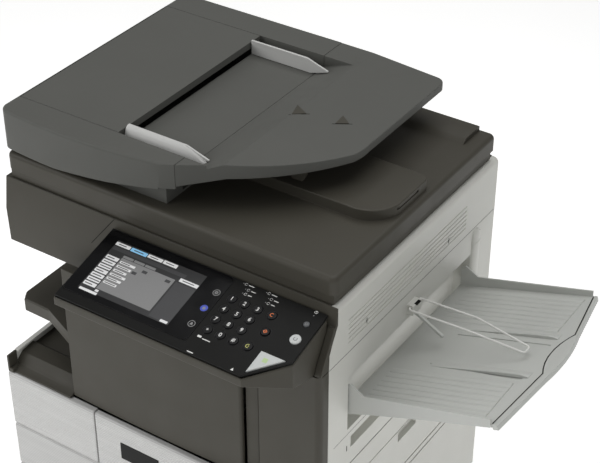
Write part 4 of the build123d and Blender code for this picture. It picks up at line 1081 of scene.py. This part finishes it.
@dataclass
class ControlPanel(Assembly):
    """Tilted panel with its touchscreen, lamps and keys."""

    tilt: float = 15.2
    sheet: float = 4.0
    back_gap: float = 0.6
    screen_radius: float = 9.0
    screen_top: float = 0.5
    display: tuple[float, float, float, float] = (-64.5, 95.5, -114.0, -16.8)
    sign_x: float = 124.6
    sign_rows: tuple[float, float, float] = (-35.3, -66.0, -96.2)
    lamp_columns: tuple[float, float] = (154.1, 192.6)
    lamp_shifts: tuple[float, float, float] = (0.0, 8.8, 8.8)
    lamp_top: float = -3.8
    lamp_pitch: float = 7.8
    power_mark: Point = (269.9, -3.2)
    legend_bars: tuple[tuple[float, ...], ...] = ((144.0, 150.5, -111.0, -107.6, 0.8),
                                                  (153.0, 166.0, -111.6, -110.2),
                                                  (146.0, 156.0, -138.2, -136.6))
    arrow: tuple[Point, Point, Point] = ((217.6, -137.4), (222.6, -137.4), (220.1, -132.8))
    print_span: tuple[float, float] = (-0.1, 0.06)
    tab_pitch: float = 8.9
    row_pitch: float = 8.0

    @property
    def plane(self) -> Slope:
        """The panel's face: x across, second axis up the slope from its back edge."""
        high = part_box("panel_face")[1]
        tilt = math.radians(self.tilt)
        y = high.y + (self.back_gap * math.cos(tilt) - self.sheet * math.sin(tilt)) * MM
        z = high.z + self.back_gap * math.sin(tilt) * MM
        return Slope(Vector((0.0, y, z)), tilt, "X")

    def build(self) -> None:
        """Make the panel from its housing up."""
        self.recast("chassis", Coat.DARK, 1.6, "panel_housing")
        self.recast("chassis", Coat.PANEL, 0.5, "panel_face")
        self.screen()
        self.picture()
        self.touch_signs()
        self.lamps()
        self.round_keys()
        self.start_key()

    def plates(self, name: str, coat: Coat, boxes: list[tuple[float, ...]], low: float, high: float,
               radius: float = 0.0) -> None:
        """Thin plates on the panel.

        Args:
            name: the piece's name.
            coat: its finish.
            boxes: left, right, near and far side of each plate.
            low: lower height.
            high: upper height.
            radius: radius of their corners.
        """
        work = Moulding(name, self.plane)
        for box in boxes:
            work.prism(rectangle(*box, radius), low, high)
        self.fit(work.made(), "chassis", coat)

    def screen_box(self) -> tuple[float, float, float, float]:
        """Left, right, near and far side of the touchscreen on the panel."""
        inverse = self.plane.matrix.inverted()
        corners = [inverse @ vertex.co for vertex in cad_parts["touchscreen"].data.vertices]
        across = [corner.x for corner in corners]
        along = [corner.y for corner in corners]
        return min(across), max(across), min(along), max(along)

    def screen(self) -> None:
        """Black glass with rounded corners, and the fillets that close its recess."""
        x0, x1, v0, v1 = self.screen_box()
        glass = Moulding("touchscreen_glass", self.plane)
        glass.prism(rectangle(x0, x1, v0, v1, self.screen_radius, 8), -1.4, self.screen_top)
        self.fit(glass.made(0.35), "chassis", Coat.SCREEN, "touchscreen")
        fillets = Moulding("screen_corner_fillets", self.plane)
        reach = self.screen_radius
        for x, sx in ((x0, 1), (x1, -1)):
            for v, sv in ((v0, 1), (v1, -1)):
                turn = [math.pi / 2 * i / 6 for i in range(7)]
                over = reach + 0.15
                curve = [(x + sx * (reach - over * math.cos(a)), v + sv * (reach - over * math.sin(a)))
                         for a in turn]
                fillets.prism([(x, v), (x, v + sv * reach)] + curve + [(x + sx * reach, v)], -1.4, 0.0)
        self.fit(fillets.made(), "chassis", Coat.PANEL)

    def picture(self) -> None:
        """The lit picture: bars, tabs and panes without any lettering."""
        x0, x1, v0, v1 = self.display
        base = self.screen_top
        tab = self.tab_pitch
        line = self.row_pitch
        self.plates("display_ground", Coat.LCD_BACK, [(x0, x1, v0, v1)], base - 0.2, base + 0.03)
        darks = [(x0 + 1.5, 68.0, -34.0, -27.8), (60.5, 95.0, -111.5, -44.5)]
        self.plates("display_dark_panes", Coat.LCD_DARK, darks, base, base + 0.06)
        panes = [(-38.5, 57.5, -104.5, -42.0), (-38.5, -20.0, -41.2, -37.0), (-18.5, 0.0, -41.2, -37.0),
                 (1.5, 20.0, -41.2, -37.0)]
        self.plates("display_grey_panes", Coat.LCD_GREY, panes, base, base + 0.06, 0.8)
        whites = [(-64.0, -38.0, -25.6, -19.4), (-6.0, 20.0, -24.8, -18.8), (21.5, 46.0, -24.6, -18.0),
                  (63.0, 95.0, -42.0, -35.6), (80.5, 93.0, -113.0, -108.6), (-62.0, -30.5, -115.6, -111.4),
                  (-37.5, -31.5, -110.0, -106.0)]
        whites += [(-62.5, -40.5, -52.0 - tab * row, -45.2 - tab * row) for row in range(7)]
        self.plates("display_white_tabs", Coat.LCD_WHITE, whites, base, base + 0.09, 0.7)
        self.plates("display_blue_tab", Coat.LCD_BLUE, [(-36.5, -7.5, -26.0, -19.2)], base, base + 0.09, 0.7)
        choices = [(-36.5, -9.5 - 2.0 * (row % 3), -51.5 - line * row, -47.4 - line * row)
                   for row in range(6)]
        self.plates("display_choice_rows", Coat.LCD_WHITE, choices, base, base + 0.08, 0.5)
        bars = [(-60.5, -47.5 + 3.0 * (row % 3), -49.4 - tab * row, -47.8 - tab * row) for row in range(7)]
        bars += [(-59.0, -45.0, -23.2, -21.8), (-2.0, 12.0, -22.6, -21.2), (26.0, 40.0, -22.0, -20.6),
                 (68.0, 88.0, -39.4, -38.0), (-31.0, -14.0, -23.4, -22.0)]
        bars += [(-9.0, -1.0, -60.5, -55.5), (4.0, 12.5, -52.5, -47.5), (44.5, 53.0, -51.5, -46.5)]
        bars += [(-34.5, -18.5 + 3.0 * (row % 2), -50.2 - line * row, -48.8 - line * row) for row in range(6)]
        self.plates("display_dark_bars", Coat.LCD_DARK, bars, base, base + 0.12, 0.3)

    def touch_signs(self) -> None:
        """Three round touch signs right of the picture."""
        top = self.screen_top
        grey = Moulding("touch_sign_rings", self.plane)
        blue = Moulding("touch_sign_home", self.plane)
        x = self.sign_x
        for index, v in enumerate(self.sign_rows):
            work = blue if index == 1 else grey
            work.ring(x, v, 4.6, 5.6, top, top + 0.08)
            if index == 0:
                for turn in range(8):
                    angle = 45.0 * turn
                    work.prism(arc_band(x, v, 1.9, 3.2, angle - 11.0, angle + 11.0, 4), top, top + 0.08)
                work.ring(x, v, 0.8, 2.0, top, top + 0.08, 24)
            elif index == 1:
                work.prism(arc_band(x, v, 0.05, 4.5, 0.0, 359.0, 32), top, top + 0.05)
            else:
                work.prism([(x - 2.6, v - 2.2), (x + 2.6, v - 2.2), (x + 1.4, v), (x + 1.9, v + 1.4),
                            (x, v + 2.6), (x - 1.9, v + 1.4), (x - 1.4, v)], top, top + 0.08)
        self.fit(grey.made(), "chassis", Coat.PRINT_GREY)
        self.fit(blue.made(), "chassis", Coat.LCD_ICON_BLUE)
        roof = Moulding("touch_sign_roof", self.plane)
        v = self.sign_rows[1]
        outline = [(-3.0, 0.2), (0.0, 2.9), (3.0, 0.2), (2.1, 0.2), (2.1, -2.4), (-2.1, -2.4), (-2.1, 0.2)]
        roof.prism([(x + dx, v + dv) for dx, dv in outline], top + 0.05, top + 0.12)
        self.fit(roof.made(), "chassis", Coat.PRINT_GREY)

    def lamps(self) -> None:
        """Status lamps with plain bars in place of their legends."""
        lenses = Moulding("status_lamps", self.plane)
        prints = Moulding("status_marks", self.plane)
        low, high = self.print_span
        for x in self.lamp_columns:
            for row, shift in enumerate(self.lamp_shifts):
                v = self.lamp_top - self.lamp_pitch * row
                lens = x + shift - (4.6 if row else 4.2)
                lenses.dome(lens, v, 0.8, -0.2, 0.35, 12)
                prints.prism(arc_band(x + shift, v, 1.7, 2.2, 20.0, 340.0, 16), low, high)
                end = x + shift + 13.5 - 1.5 * row
                prints.prism(rectangle(x + shift + 4.4, end, v - 0.8, v + 0.5), low, high)
        x, v = self.power_mark
        prints.ring(x, v, 1.9, 2.6, low, high, 24)
        prints.prism(rectangle(x - 0.6, x + 0.6, v - 0.2, v + 2.6), low, high + 0.01)
        lenses.dome(x, v - 6.4, 0.9, -0.2, 0.35, 12)
        for box in self.legend_bars:
            prints.prism(rectangle(*box), low, high)
        prints.prism(list(self.arrow), low, high)
        self.fit(lenses.made(), "chassis", Coat.PRINT_GREY)
        self.fit(prints.made(), "chassis", Coat.PRINT_WHITE)

    def round_keys(self) -> None:
        """Caps, their rings and the signs on them."""
        plane = self.plane
        facing = (plane.tilt, 0.0, 0.0)
        pale = {"key_power": Coat.KEY_PALE, "key_power_save": Coat.KEY_DIM}
        keys = [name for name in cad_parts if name.startswith("key_") and name != "key_start"]
        wells = []
        for name in sorted(keys):
            self.dress(name, pale.get(name, Coat.KEY))
            spot = plane.middle_of(name)
            if name not in pale:
                wells.append(plane.matrix @ Vector((spot.x, spot.y, 0.05)))
            numeral = name.removeprefix("key_")
            sign = {"star": "*", "hash": "#"}.get(numeral, numeral)
            if len(sign) == 1:
                place = plane.matrix @ Matrix.Translation((spot.x, spot.y, 1.84))
                height = 6.4 if sign != "*" else 5.6
                digit = glyph(f"{name}_sign", sign, height, 0.12, place)
                self.fit(digit, f"{name}_cap", Coat.PRINT_WHITE)
        rings = ring_tree().piece("key_rings", Coat.KEY_RIM, wells, Ring_radius=0.0079, Bead_radius=0.00034,
                                  Facing=facing)
        self.fit(rings, "chassis", Coat.KEY_RIM)
        self.sign("key_clear", Coat.PRINT_ORANGE, [(2.1, 3.0, 50.0, 310.0)])
        self.sign("key_stop", Coat.PRINT_ORANGE, [(2.3, 3.4, 0.0, 360.0), (0.1, 1.0, 0.0, 359.0)], 4)
        self.sign("key_clear_all", Coat.PRINT_YELLOW, [(2.4, 3.2, 60.0, 300.0), (0.8, 1.6, -60.0, 60.0)])
        self.sign("key_power_save", Coat.PRINT_GREY, [(1.5, 2.1, 130.0, 410.0)])
        self.sign("key_power", Coat.KEY_DIM, [(2.2, 3.0, 125.0, 415.0)])

    def sign(self, key: str, coat: Coat, bands: list[tuple[float, ...]], steps: int = 24) -> None:
        """A plain sign of curved bands on a key.

        Args:
            key: the key's node.
            coat: the print's colour.
            bands: inner radius, outer radius, first and last angle of each band.
            steps: sides along each band.
        """
        work = Moulding(f"{key}_sign", self.plane)
        spot = self.plane.middle_of(key)
        for inner, outer, start, end in bands:
            band = arc_band(spot.x, spot.y, inner, outer, start, min(end, start + 359.0), steps)
            work.prism(band, 1.76, 1.9)
        self.fit(work.made(), f"{key}_cap", coat)

    def start_key(self) -> None:
        """Pale corner key with its green mark."""
        self.recast("key_start_cap", Coat.KEY_PALE, 0.5, "key_start")
        mark = Moulding("key_start_mark", self.plane)
        mark.prism(rectangle(249.6, 257.0, -108.6, -101.4, 1.0), 2.36, 2.56)
        self.fit(mark.made(), "key_start_cap", Coat.PRINT_GREEN)


@dataclass
class PlatenCover(Assembly):
    """Cover over the glass, with its pad, paper exit plate and hinge arms."""

    drawn_in: float = 1.5
    steps: tuple[int, int] = (24, 18)

    def build(self) -> None:
        """Make the cover, pad and exit pieces."""
        self.recast("feeder", Coat.DARK, 0.45, "platen_cover", angle=60.0)
        self.recast("original_exit", Coat.DARK, 0.6, "exit_extension")
        self.recast("feeder", Coat.STEEL, 0.4, "hinge_arms")
        self.pad()

    def pad(self) -> None:
        """White pad with a drawn-in, rounded rim."""
        low, high = (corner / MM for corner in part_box("platen_pad"))
        pad = Moulding("pressing_pad")
        rings = []
        for margin, height in ((self.drawn_in, low.z + 1.0), (0.0, low.z + 2.0), (self.drawn_in, high.z)):
            x0, x1 = low.x + margin, high.x - margin
            y0, y1 = low.y + margin, high.y - margin
            corners = [Vector((x, y, height)) for x, y in ((x0, y0), (x1, y0), (x1, y1), (x0, y1))]
            sides = zip(corners, corners[1:] + corners[:1], self.steps * 2)
            rings.append([start.lerp(end, i / count) for start, end, count in sides for i in range(count)])
        pad.hull(rings)
        piece = self.fit(pad.made(1.2, 3), "feeder", Coat.FOAM, "platen_pad")


@dataclass
class DocumentFeeder(Assembly):
    """Feeder on top of the platen cover."""

    tray_fall: float = 8.0
    tray_bend: float = 60.0
    tyre_rows: tuple[float, float] = (-4.0, 22.0)
    hook_x: tuple[float, float] = (118.0, 152.0)
    hook_y: tuple[float, float] = (-62.0, -56.0)
    hook_heights: tuple[float, float, float] = (752.0, 764.0, 780.0)

    def build(self) -> None:
        """Make the feeder's covers, guides and roller."""
        # The feeder's covers take the lighter copy of the dark plastic, which is painted top light.
        self.recast("feeder", Coat.DARK_TOP, 0.4, "feeder_housing", angle=60.0)
        self.recast("feeder", Coat.DARK_TOP, 1.3, "document_tray")
        self.recast("feeder_lid", Coat.DARK_TOP, 0.5, "feeder_cover")
        self.recast("front_guide", Coat.GUIDE, 0.4, "guide_front")
        self.recast("rear_guide", Coat.GUIDE, 0.4, "guide_rear")
        self.recast("roller", Coat.INNER_GREY, 0.4, "pickup_roller")
        self.guide_slopes()
        self.tyres()
        self.paper_stops()
        self.exit_hook()

    def guide_slopes(self) -> None:
        """Sloping outer sides of the two guides, with a rounded shoulder and a long run-out."""
        for node, body, side in (("guide_front", "front_guide", -1.0), ("guide_rear", "rear_guide", 1.0)):
            low, high = (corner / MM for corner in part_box(node))
            inner = high.y - 3.0 if side < 0 else low.y + 3.0
            reach = (low.y - inner if side < 0 else high.y - inner) * 0.96
            stations = ((low.x, 1.0), (low.x + 40.0, 1.0), (high.x - 42.0, 1.0), (high.x - 30.0, 0.86),
                        (high.x - 16.0, 0.60), (high.x - 5.0, 0.36), (high.x - 1.0, 0.24))
            foot = low.z + 1.0
            work = Moulding(f"{node}_slope")
            rings = []
            for x, tall in stations:
                crown = foot + (high.z - foot) * tall
                wide = reach * (0.30 + 0.70 * tall)
                section = [(0.0, foot), (0.0, crown - 0.2), (0.10, crown - 0.5), (0.24, crown - 1.8),
                           (0.42, crown - 5.0 * tall), (0.66, foot + (crown - foot) * 0.42),
                           (0.86, foot + (crown - foot) * 0.16), (1.0, foot + 0.8), (1.0, foot)]
                rings.append([Vector((x, inner + wide * share, z)) for share, z in section])
            work.hull(rings)
            self.fit(work.made(), body, Coat.GUIDE)

    def tyres(self) -> None:
        """Grip bars on the roller's two tyres."""
        low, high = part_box("pickup_roller")
        middle = (low + high) / 2
        radius = (high.z - low.z) / 2
        tree = tyre_tree()
        for name, y in zip(("front_tyre_grip", "rear_tyre_grip"), self.tyre_rows):
            grip = tree.piece(name, Coat.RUBBER, [], Rim_radius=radius, Bar_size=(0.0012, 0.0009, 0.0172),
                              Middle=(middle.x, y * MM, middle.z))
            self.fit(grip, "roller", Coat.RUBBER)

    def tray_height(self, x: float) -> float:
        """Height of the document tray's top at one place across, in millimetres."""
        low, high = (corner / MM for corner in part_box("document_tray"))
        bend = low.x + self.tray_bend
        fall = self.tray_fall * max(0.0, x - bend) / (high.x - bend)
        return high.z - fall

    def paper_stops(self) -> None:
        """Two small three-cornered ramps on the tray, each with a dark line of painted shadow along its
        raised edge.
        """
        ramps = Moulding("tray_paper_ramps")
        lines = Moulding("tray_ramp_lines")
        for tip, near, far in (((68.5, 41.5), (77.0, 14.0), (93.0, 28.0)),
                               ((138.0, 58.0), (141.0, 32.0), (157.0, 44.0))):
            feet = [Vector((x, y, self.tray_height(x) - 0.4)) for x, y in (tip, near, far)]
            crown = [Vector((x, y, self.tray_height(x) + rise))
                     for (x, y), rise in ((tip, 0.05), (near, 0.9), (far, 0.9))]
            ramps.hull([feet, crown])
            # Each ramp's dark line is painted shadow along its raised edge.
            run = Vector((far[0] - near[0], far[1] - near[1])).normalized()
            out = Vector((run.y, -run.x))
            start = Vector(near) - run * 5.0
            end = Vector(far) + run * 5.0
            outline = [start, end, end + out * 1.1, start + out * 1.1]
            top = [Vector((p.x, p.y, self.tray_height(p.x) + 0.12)) for p in outline]
            foot = [Vector((p.x, p.y, p.z - 0.5)) for p in top]
            lines.hull([foot, top])
        self.fit(ramps.made(), "feeder", Coat.DARK)
        self.fit(lines.made(), "feeder", Coat.DARK_SEAM)

    def exit_hook(self) -> None:
        """Paper stop that hangs from the underside of the tray."""
        hook = Moulding("exit_paper_stop")
        outline = rectangle(*self.hook_x, *self.hook_y)
        low, bend, high = self.hook_heights
        top = [Vector((x, y, high)) for x, y in outline]
        waist = [Vector((x, y, bend)) for x, y in outline]
        foot = [Vector((x * 0.4 + 81.0 + (4.0 if x > 140 else 0.0), y, low)) for x, y in outline]
        hook.hull([foot, waist, top])
        self.fit(hook.made(0.8), "feeder", Coat.DARK)


@dataclass
class SideTray(Assembly):
    """Side exit tray, its pull-out end, the paper holder wire and the paper flag."""

    tilt: float = 17.6
    root_gap: float = 5.0
    root_height: float = 488.5
    half_width: float = 168.0
    flute_pitch: float = 12.0
    flute_rise: float = 1.5
    flute_end: float = 212.0
    lane: tuple[float, float] = (-62.0, 46.0)
    flute_start: float = 10.0
    reach: float = 247.6
    wedge_root: float = 62.0
    wedge_ends: tuple[float, float] = (226.0, 222.0)
    wedge_rise: float = 5.5
    wedge_depth: float = 15.0
    gap_width: float = 1.5
    dip_middle: float = 12.0
    dip_half: float = 52.0
    dip_depth: float = 13.0

    @property
    def plane(self) -> Slope:
        """The tray's floor: x up the slope from its root."""
        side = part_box("right_cover")[1].x
        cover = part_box("scanner_side_cover")[1].x
        root = min(side, cover) + self.root_gap * MM
        return Slope(Vector((root, 0.0, self.root_height * MM)), -math.radians(self.tilt), "Y")

    def build(self) -> None:
        """Make the tray, its flutes and wedges, the extension and the wire."""
        self.recast("chassis", Coat.TRAY, 0.5, "side_exit_tray")
        self.recast("tray_extension", Coat.TRAY, 0.7, "side_tray_extension")
        self.dress("paper_holder", Coat.WIRE)
        self.flutes()
        self.paper_wedges()
        self.edge_line()
        self.holder_bracket()

    def flutes(self) -> None:
        """Broad shallow flutes up the slope of the floor, on both sides of the middle lane."""
        matrix = self.plane.matrix
        tree = flute_tree()
        near = -self.half_width + self.flute_pitch / 2
        far = self.lane[1] + 24.0
        spans = (("tray_near_flutes", near, int((self.lane[0] - near) / self.flute_pitch)),
                 ("tray_far_flutes", far, int((self.half_width - far) / self.flute_pitch)))
        for name, first, rows in spans:
            start = matrix @ Vector((self.flute_start, first, 0.0))
            run = matrix @ Vector((self.flute_end, first, 0.0)) - start
            flutes = tree.piece(name, Coat.TRAY, [], Rows=rows, Start=tuple(start), Run=tuple(run),
                                Step=(0.0, self.flute_pitch * MM, 0.0),
                                Half_width=self.flute_pitch * MM * 0.5, Rise=self.flute_rise * MM)
            self.fit(flutes, "chassis", Coat.TRAY)

    def paper_wedges(self) -> None:
        """Two long wedges that lift the sheet's middle, each ending in a round nose."""
        work = Moulding("tray_paper_wedges", self.plane)
        deep = self.wedge_depth
        for v0, reach in zip((self.lane[0] + 6.0, self.lane[1]), self.wedge_ends):
            rings = []
            for share in (0.0, 0.25, 0.5, 0.75, 0.9, 0.96, 0.99, 1.0):
                x = self.wedge_root + (reach - self.wedge_root) * share
                rise = self.wedge_rise * min(1.0, share / 0.75)
                if share > 0.9:
                    rise *= math.sqrt(max(0.02, 1.0 - ((share - 0.9) / 0.1) ** 2))
                rings.append([Vector((x, v0, -0.6)), Vector((x, v0, rise * 0.8)), Vector((x, v0 + 1.6, rise)),
                              Vector((x, v0 + 6.0, rise * 0.85)), Vector((x, v0 + deep, 0.15)),
                              Vector((x, v0 + deep, -0.6))])
            work.hull(rings)
        self.fit(work.made(), "chassis", Coat.TRAY)

    def edge_line(self) -> None:
        """Dark gap between the floor's end and the rim of the pull-out end."""
        work = Moulding("tray_edge_gap", self.plane)
        bend = self.reach - 6.0
        shares = (-0.8, -0.5, -0.2, 0.2, 0.5, 0.8, 1.0)
        line = [(-self.half_width, self.reach - 17.2), (-40.0, bend)]
        line += [(self.dip_middle + self.dip_half * share, bend - self.dip_depth * (1.0 - share * share))
                 for share in shares]
        line += [(self.half_width, self.reach - 25.8)]
        near = -0.1
        far = near - self.gap_width
        for (v0, x0), (v1, x1) in zip(line, line[1:]):
            work.prism([(x0 + far, v0), (x0 + near, v0), (x1 + near, v1), (x1 + far, v1)], -0.3, 0.3)
        self.fit(work.made(), "chassis", Coat.DARK_SEAM)

    def holder_bracket(self) -> None:
        """Dark slots of the wire's bracket, and the flag that feels the paper."""
        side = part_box("right_cover")[1].x / MM
        slots = Moulding("holder_bracket_slots")
        slots.prism(rectangle(side - 2.5, side + 2.5, -8.0, 4.0), 566.4, 567.6)
        self.fit(slots.made(), "chassis", Coat.DARK_SEAM)
        flag = Moulding("paper_flag")
        path = [(side - 2.0, 552.0), (308.0, 549.0), (332.0, 536.5), (355.0, 524.0), (357.0, 522.4)]
        rings = []
        for (x, z), half in zip(path, (2.6, 2.6, 2.2, 2.6, 0.8)):
            rings.append([Vector((x + half * 0.45 * sx, -3.0 + half * sy, z + half * 0.8 * sx))
                          for sx, sy in ((-1, -1), (-1, 1), (1, 1), (1, -1))])
        flag.hull(rings)
        self.fit(flag.made(0.4), "chassis", Coat.TRAY)


@dataclass
class Doors(Assembly):
    """Front doors, side door and bypass lid."""

    badge: tuple[float, float, float, float] = (-68.0, 8.0, 258.0, 291.0)

    def build(self) -> None:
        """Make the doors and the blank badge plate."""
        self.recast("dark_door", Coat.DARK, 0.8, "front_door")
        self.recast("white_door", Coat.STRIPED, 0.8, "toner_door")
        self.recast("right_door", Coat.WHITE, 0.7, "side_door")
        self.recast("bypass", Coat.WHITE, 0.7, "bypass_tray")
        self.badge_plate()

    def badge_plate(self) -> None:
        """Dark plate without any mark."""
        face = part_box("toner_door")[0].y
        upright = Slope(Vector((0.0, face, 0.0)), math.pi / 2, "X")
        x0, x1, z0, z1 = self.badge
        plate = Moulding("blank_badge_plate", upright)
        plate.prism(rectangle(x0, x1, z0, z1, 1.0), -0.4, 1.0)
        self.fit(plate.made(0.4), "white_door", Coat.PANEL)


@dataclass
class Cassettes(Assembly):
    """Two paper cassettes."""

    def build(self) -> None:
        """Make both cassettes."""
        self.recast("upper_cassette", Coat.STRIPED, 0.8, "cassette_upper")
        self.recast("lower_cassette", Coat.STRIPED, 0.8, "cassette_lower")


@dataclass
class PinstripeRows(Assembly):
    """Fine raised lines across the striped fronts."""

    pitch: float = 3.7
    radius: float = 0.55
    top_margin: float = 9.0
    side_margin: float = 2.0

    def build(self) -> None:
        """Rule each striped front."""
        tree = rib_tree()
        self.rule(tree, "front_left_cover", "chassis", 3.0)
        self.rule(tree, "toner_door", "white_door", 3.0)

    def rule(self, tree: PatternTree, node: str, body: str, foot: float) -> None:
        """Lines from the foot of a front up to its rounded top.

        Args:
            tree: the rib tree.
            node: the front's CAD node.
            body: its body.
            foot: margin at the foot, in millimetres.
        """
        low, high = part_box(node)
        first = math.ceil((low.z / MM + foot) / self.pitch) * self.pitch
        last = high.z / MM - self.top_margin
        rows = int((last - first) / self.pitch) + 1
        start = (low.x + self.side_margin * MM, low.y + 0.0001, first * MM)
        run = (high.x - low.x - 2 * self.side_margin * MM, 0.0, 0.0)
        # The raised lines take the lighter copy of the striped white, which is a painted highlight.
        lines = tree.piece(f"{node}_pinstripes", Coat.PALE_RIB, [], Rows=rows, Start=start,
                           Step=(0.0, 0.0, self.pitch * MM), Run=run, Radius=self.radius * MM)
        self.fit(lines, body, Coat.PALE_RIB)


# ---------------------------------------------------------------- studio
@dataclass
class Studio:
    """Pale floor, soft lights and the camera."""

    eye: Vector = Vector((1.17888, -1.61609, 1.96336))
    target: Vector = Vector((0.1147, -0.0211, 0.6297))
    lens: float = 93.3
    floor_glow: float = 0.52
    air_strength: float = 0.24

    def build(self) -> None:
        """Set up the studio."""
        self.floor()
        self.light("top_light", (0.1, 0.5, 3.1), 2.4, 42.0)
        self.light("front_light", (-2.0, -2.1, 2.1), 1.8, 36.0)
        self.light("side_light", (2.4, -1.9, 1.6), 1.4, 12.0)
        self.surroundings()
        self.camera()

    def floor(self) -> None:
        """Wide pale floor."""
        work = Moulding("studio_floor")
        work.prism(rectangle(-9000.0, 9000.0, -9000.0, 9000.0, 2000.0), -20.0, 0.0)
        floor = work.made()
        board = ShaderBoard("studio_floor")
        tint = board.blend(board.noise(1.5, 2.0), (0.90, 0.90, 0.895), (0.93, 0.93, 0.925))
        board.link(tint, board.surface.inputs["Base Color"])
        board.surface.inputs["Roughness"].default_value = 0.7
        board.link(tint, board.surface.inputs["Emission Color"])
        board.surface.inputs["Emission Strength"].default_value = self.floor_glow
        floor.data.materials.append(board.material)

    def light(self, name: str, place: Colour, size: float, power: float) -> None:
        """A square soft light that faces the machine.

        Args:
            name: its name.
            place: where it stands.
            size: its side, in metres.
            power: in watts.
        """
        lamp = bpy.data.lights.new(name, "AREA")
        lamp.size = size
        lamp.energy = power
        stand = bpy.data.objects.new(name, lamp)
        stand.location = place
        stand.rotation_euler = (Vector((0.0, 0.0, 0.5)) - stand.location).to_track_quat("-Z", "Y").to_euler()
        bpy.context.scene.collection.objects.link(stand)

    def surroundings(self) -> None:
        """Even pale light from all round."""
        world = bpy.data.worlds.new("studio_air")
        world.use_nodes = True
        air = world.node_tree.nodes["Background"]
        air.inputs["Color"].default_value = (1.0, 1.0, 1.0, 1.0)
        air.inputs["Strength"].default_value = self.air_strength
        bpy.context.scene.world = world
        bpy.context.scene.view_settings.view_transform = "Standard"

    def camera(self) -> None:
        """Camera above the front right corner."""
        data = bpy.data.cameras.new("camera")
        data.lens = self.lens
        data.sensor_width = 36.0
        stand = bpy.data.objects.new("camera", data)
        stand.location = self.eye
        stand.rotation_euler = (self.target - self.eye).to_track_quat("-Z", "Y").to_euler()
        bpy.context.scene.collection.objects.link(stand)
        bpy.context.scene.camera = stand


def main() -> None:
    """Build the machine, then the studio, and report every piece."""
    logging.basicConfig(level=logging.INFO, format="%(message)s")
    assemblies = [FrameWork(), BodyCovers(), OutputSpace(), Scanner(), ControlPanel(), PlatenCover(),
                  DocumentFeeder(), SideTray(), Doors(), Cassettes(), PinstripeRows()]
    for assembly in assemblies:
        assembly.build()
        assembly.report()
    Studio().build()


if __name__ == "__main__":
    main()
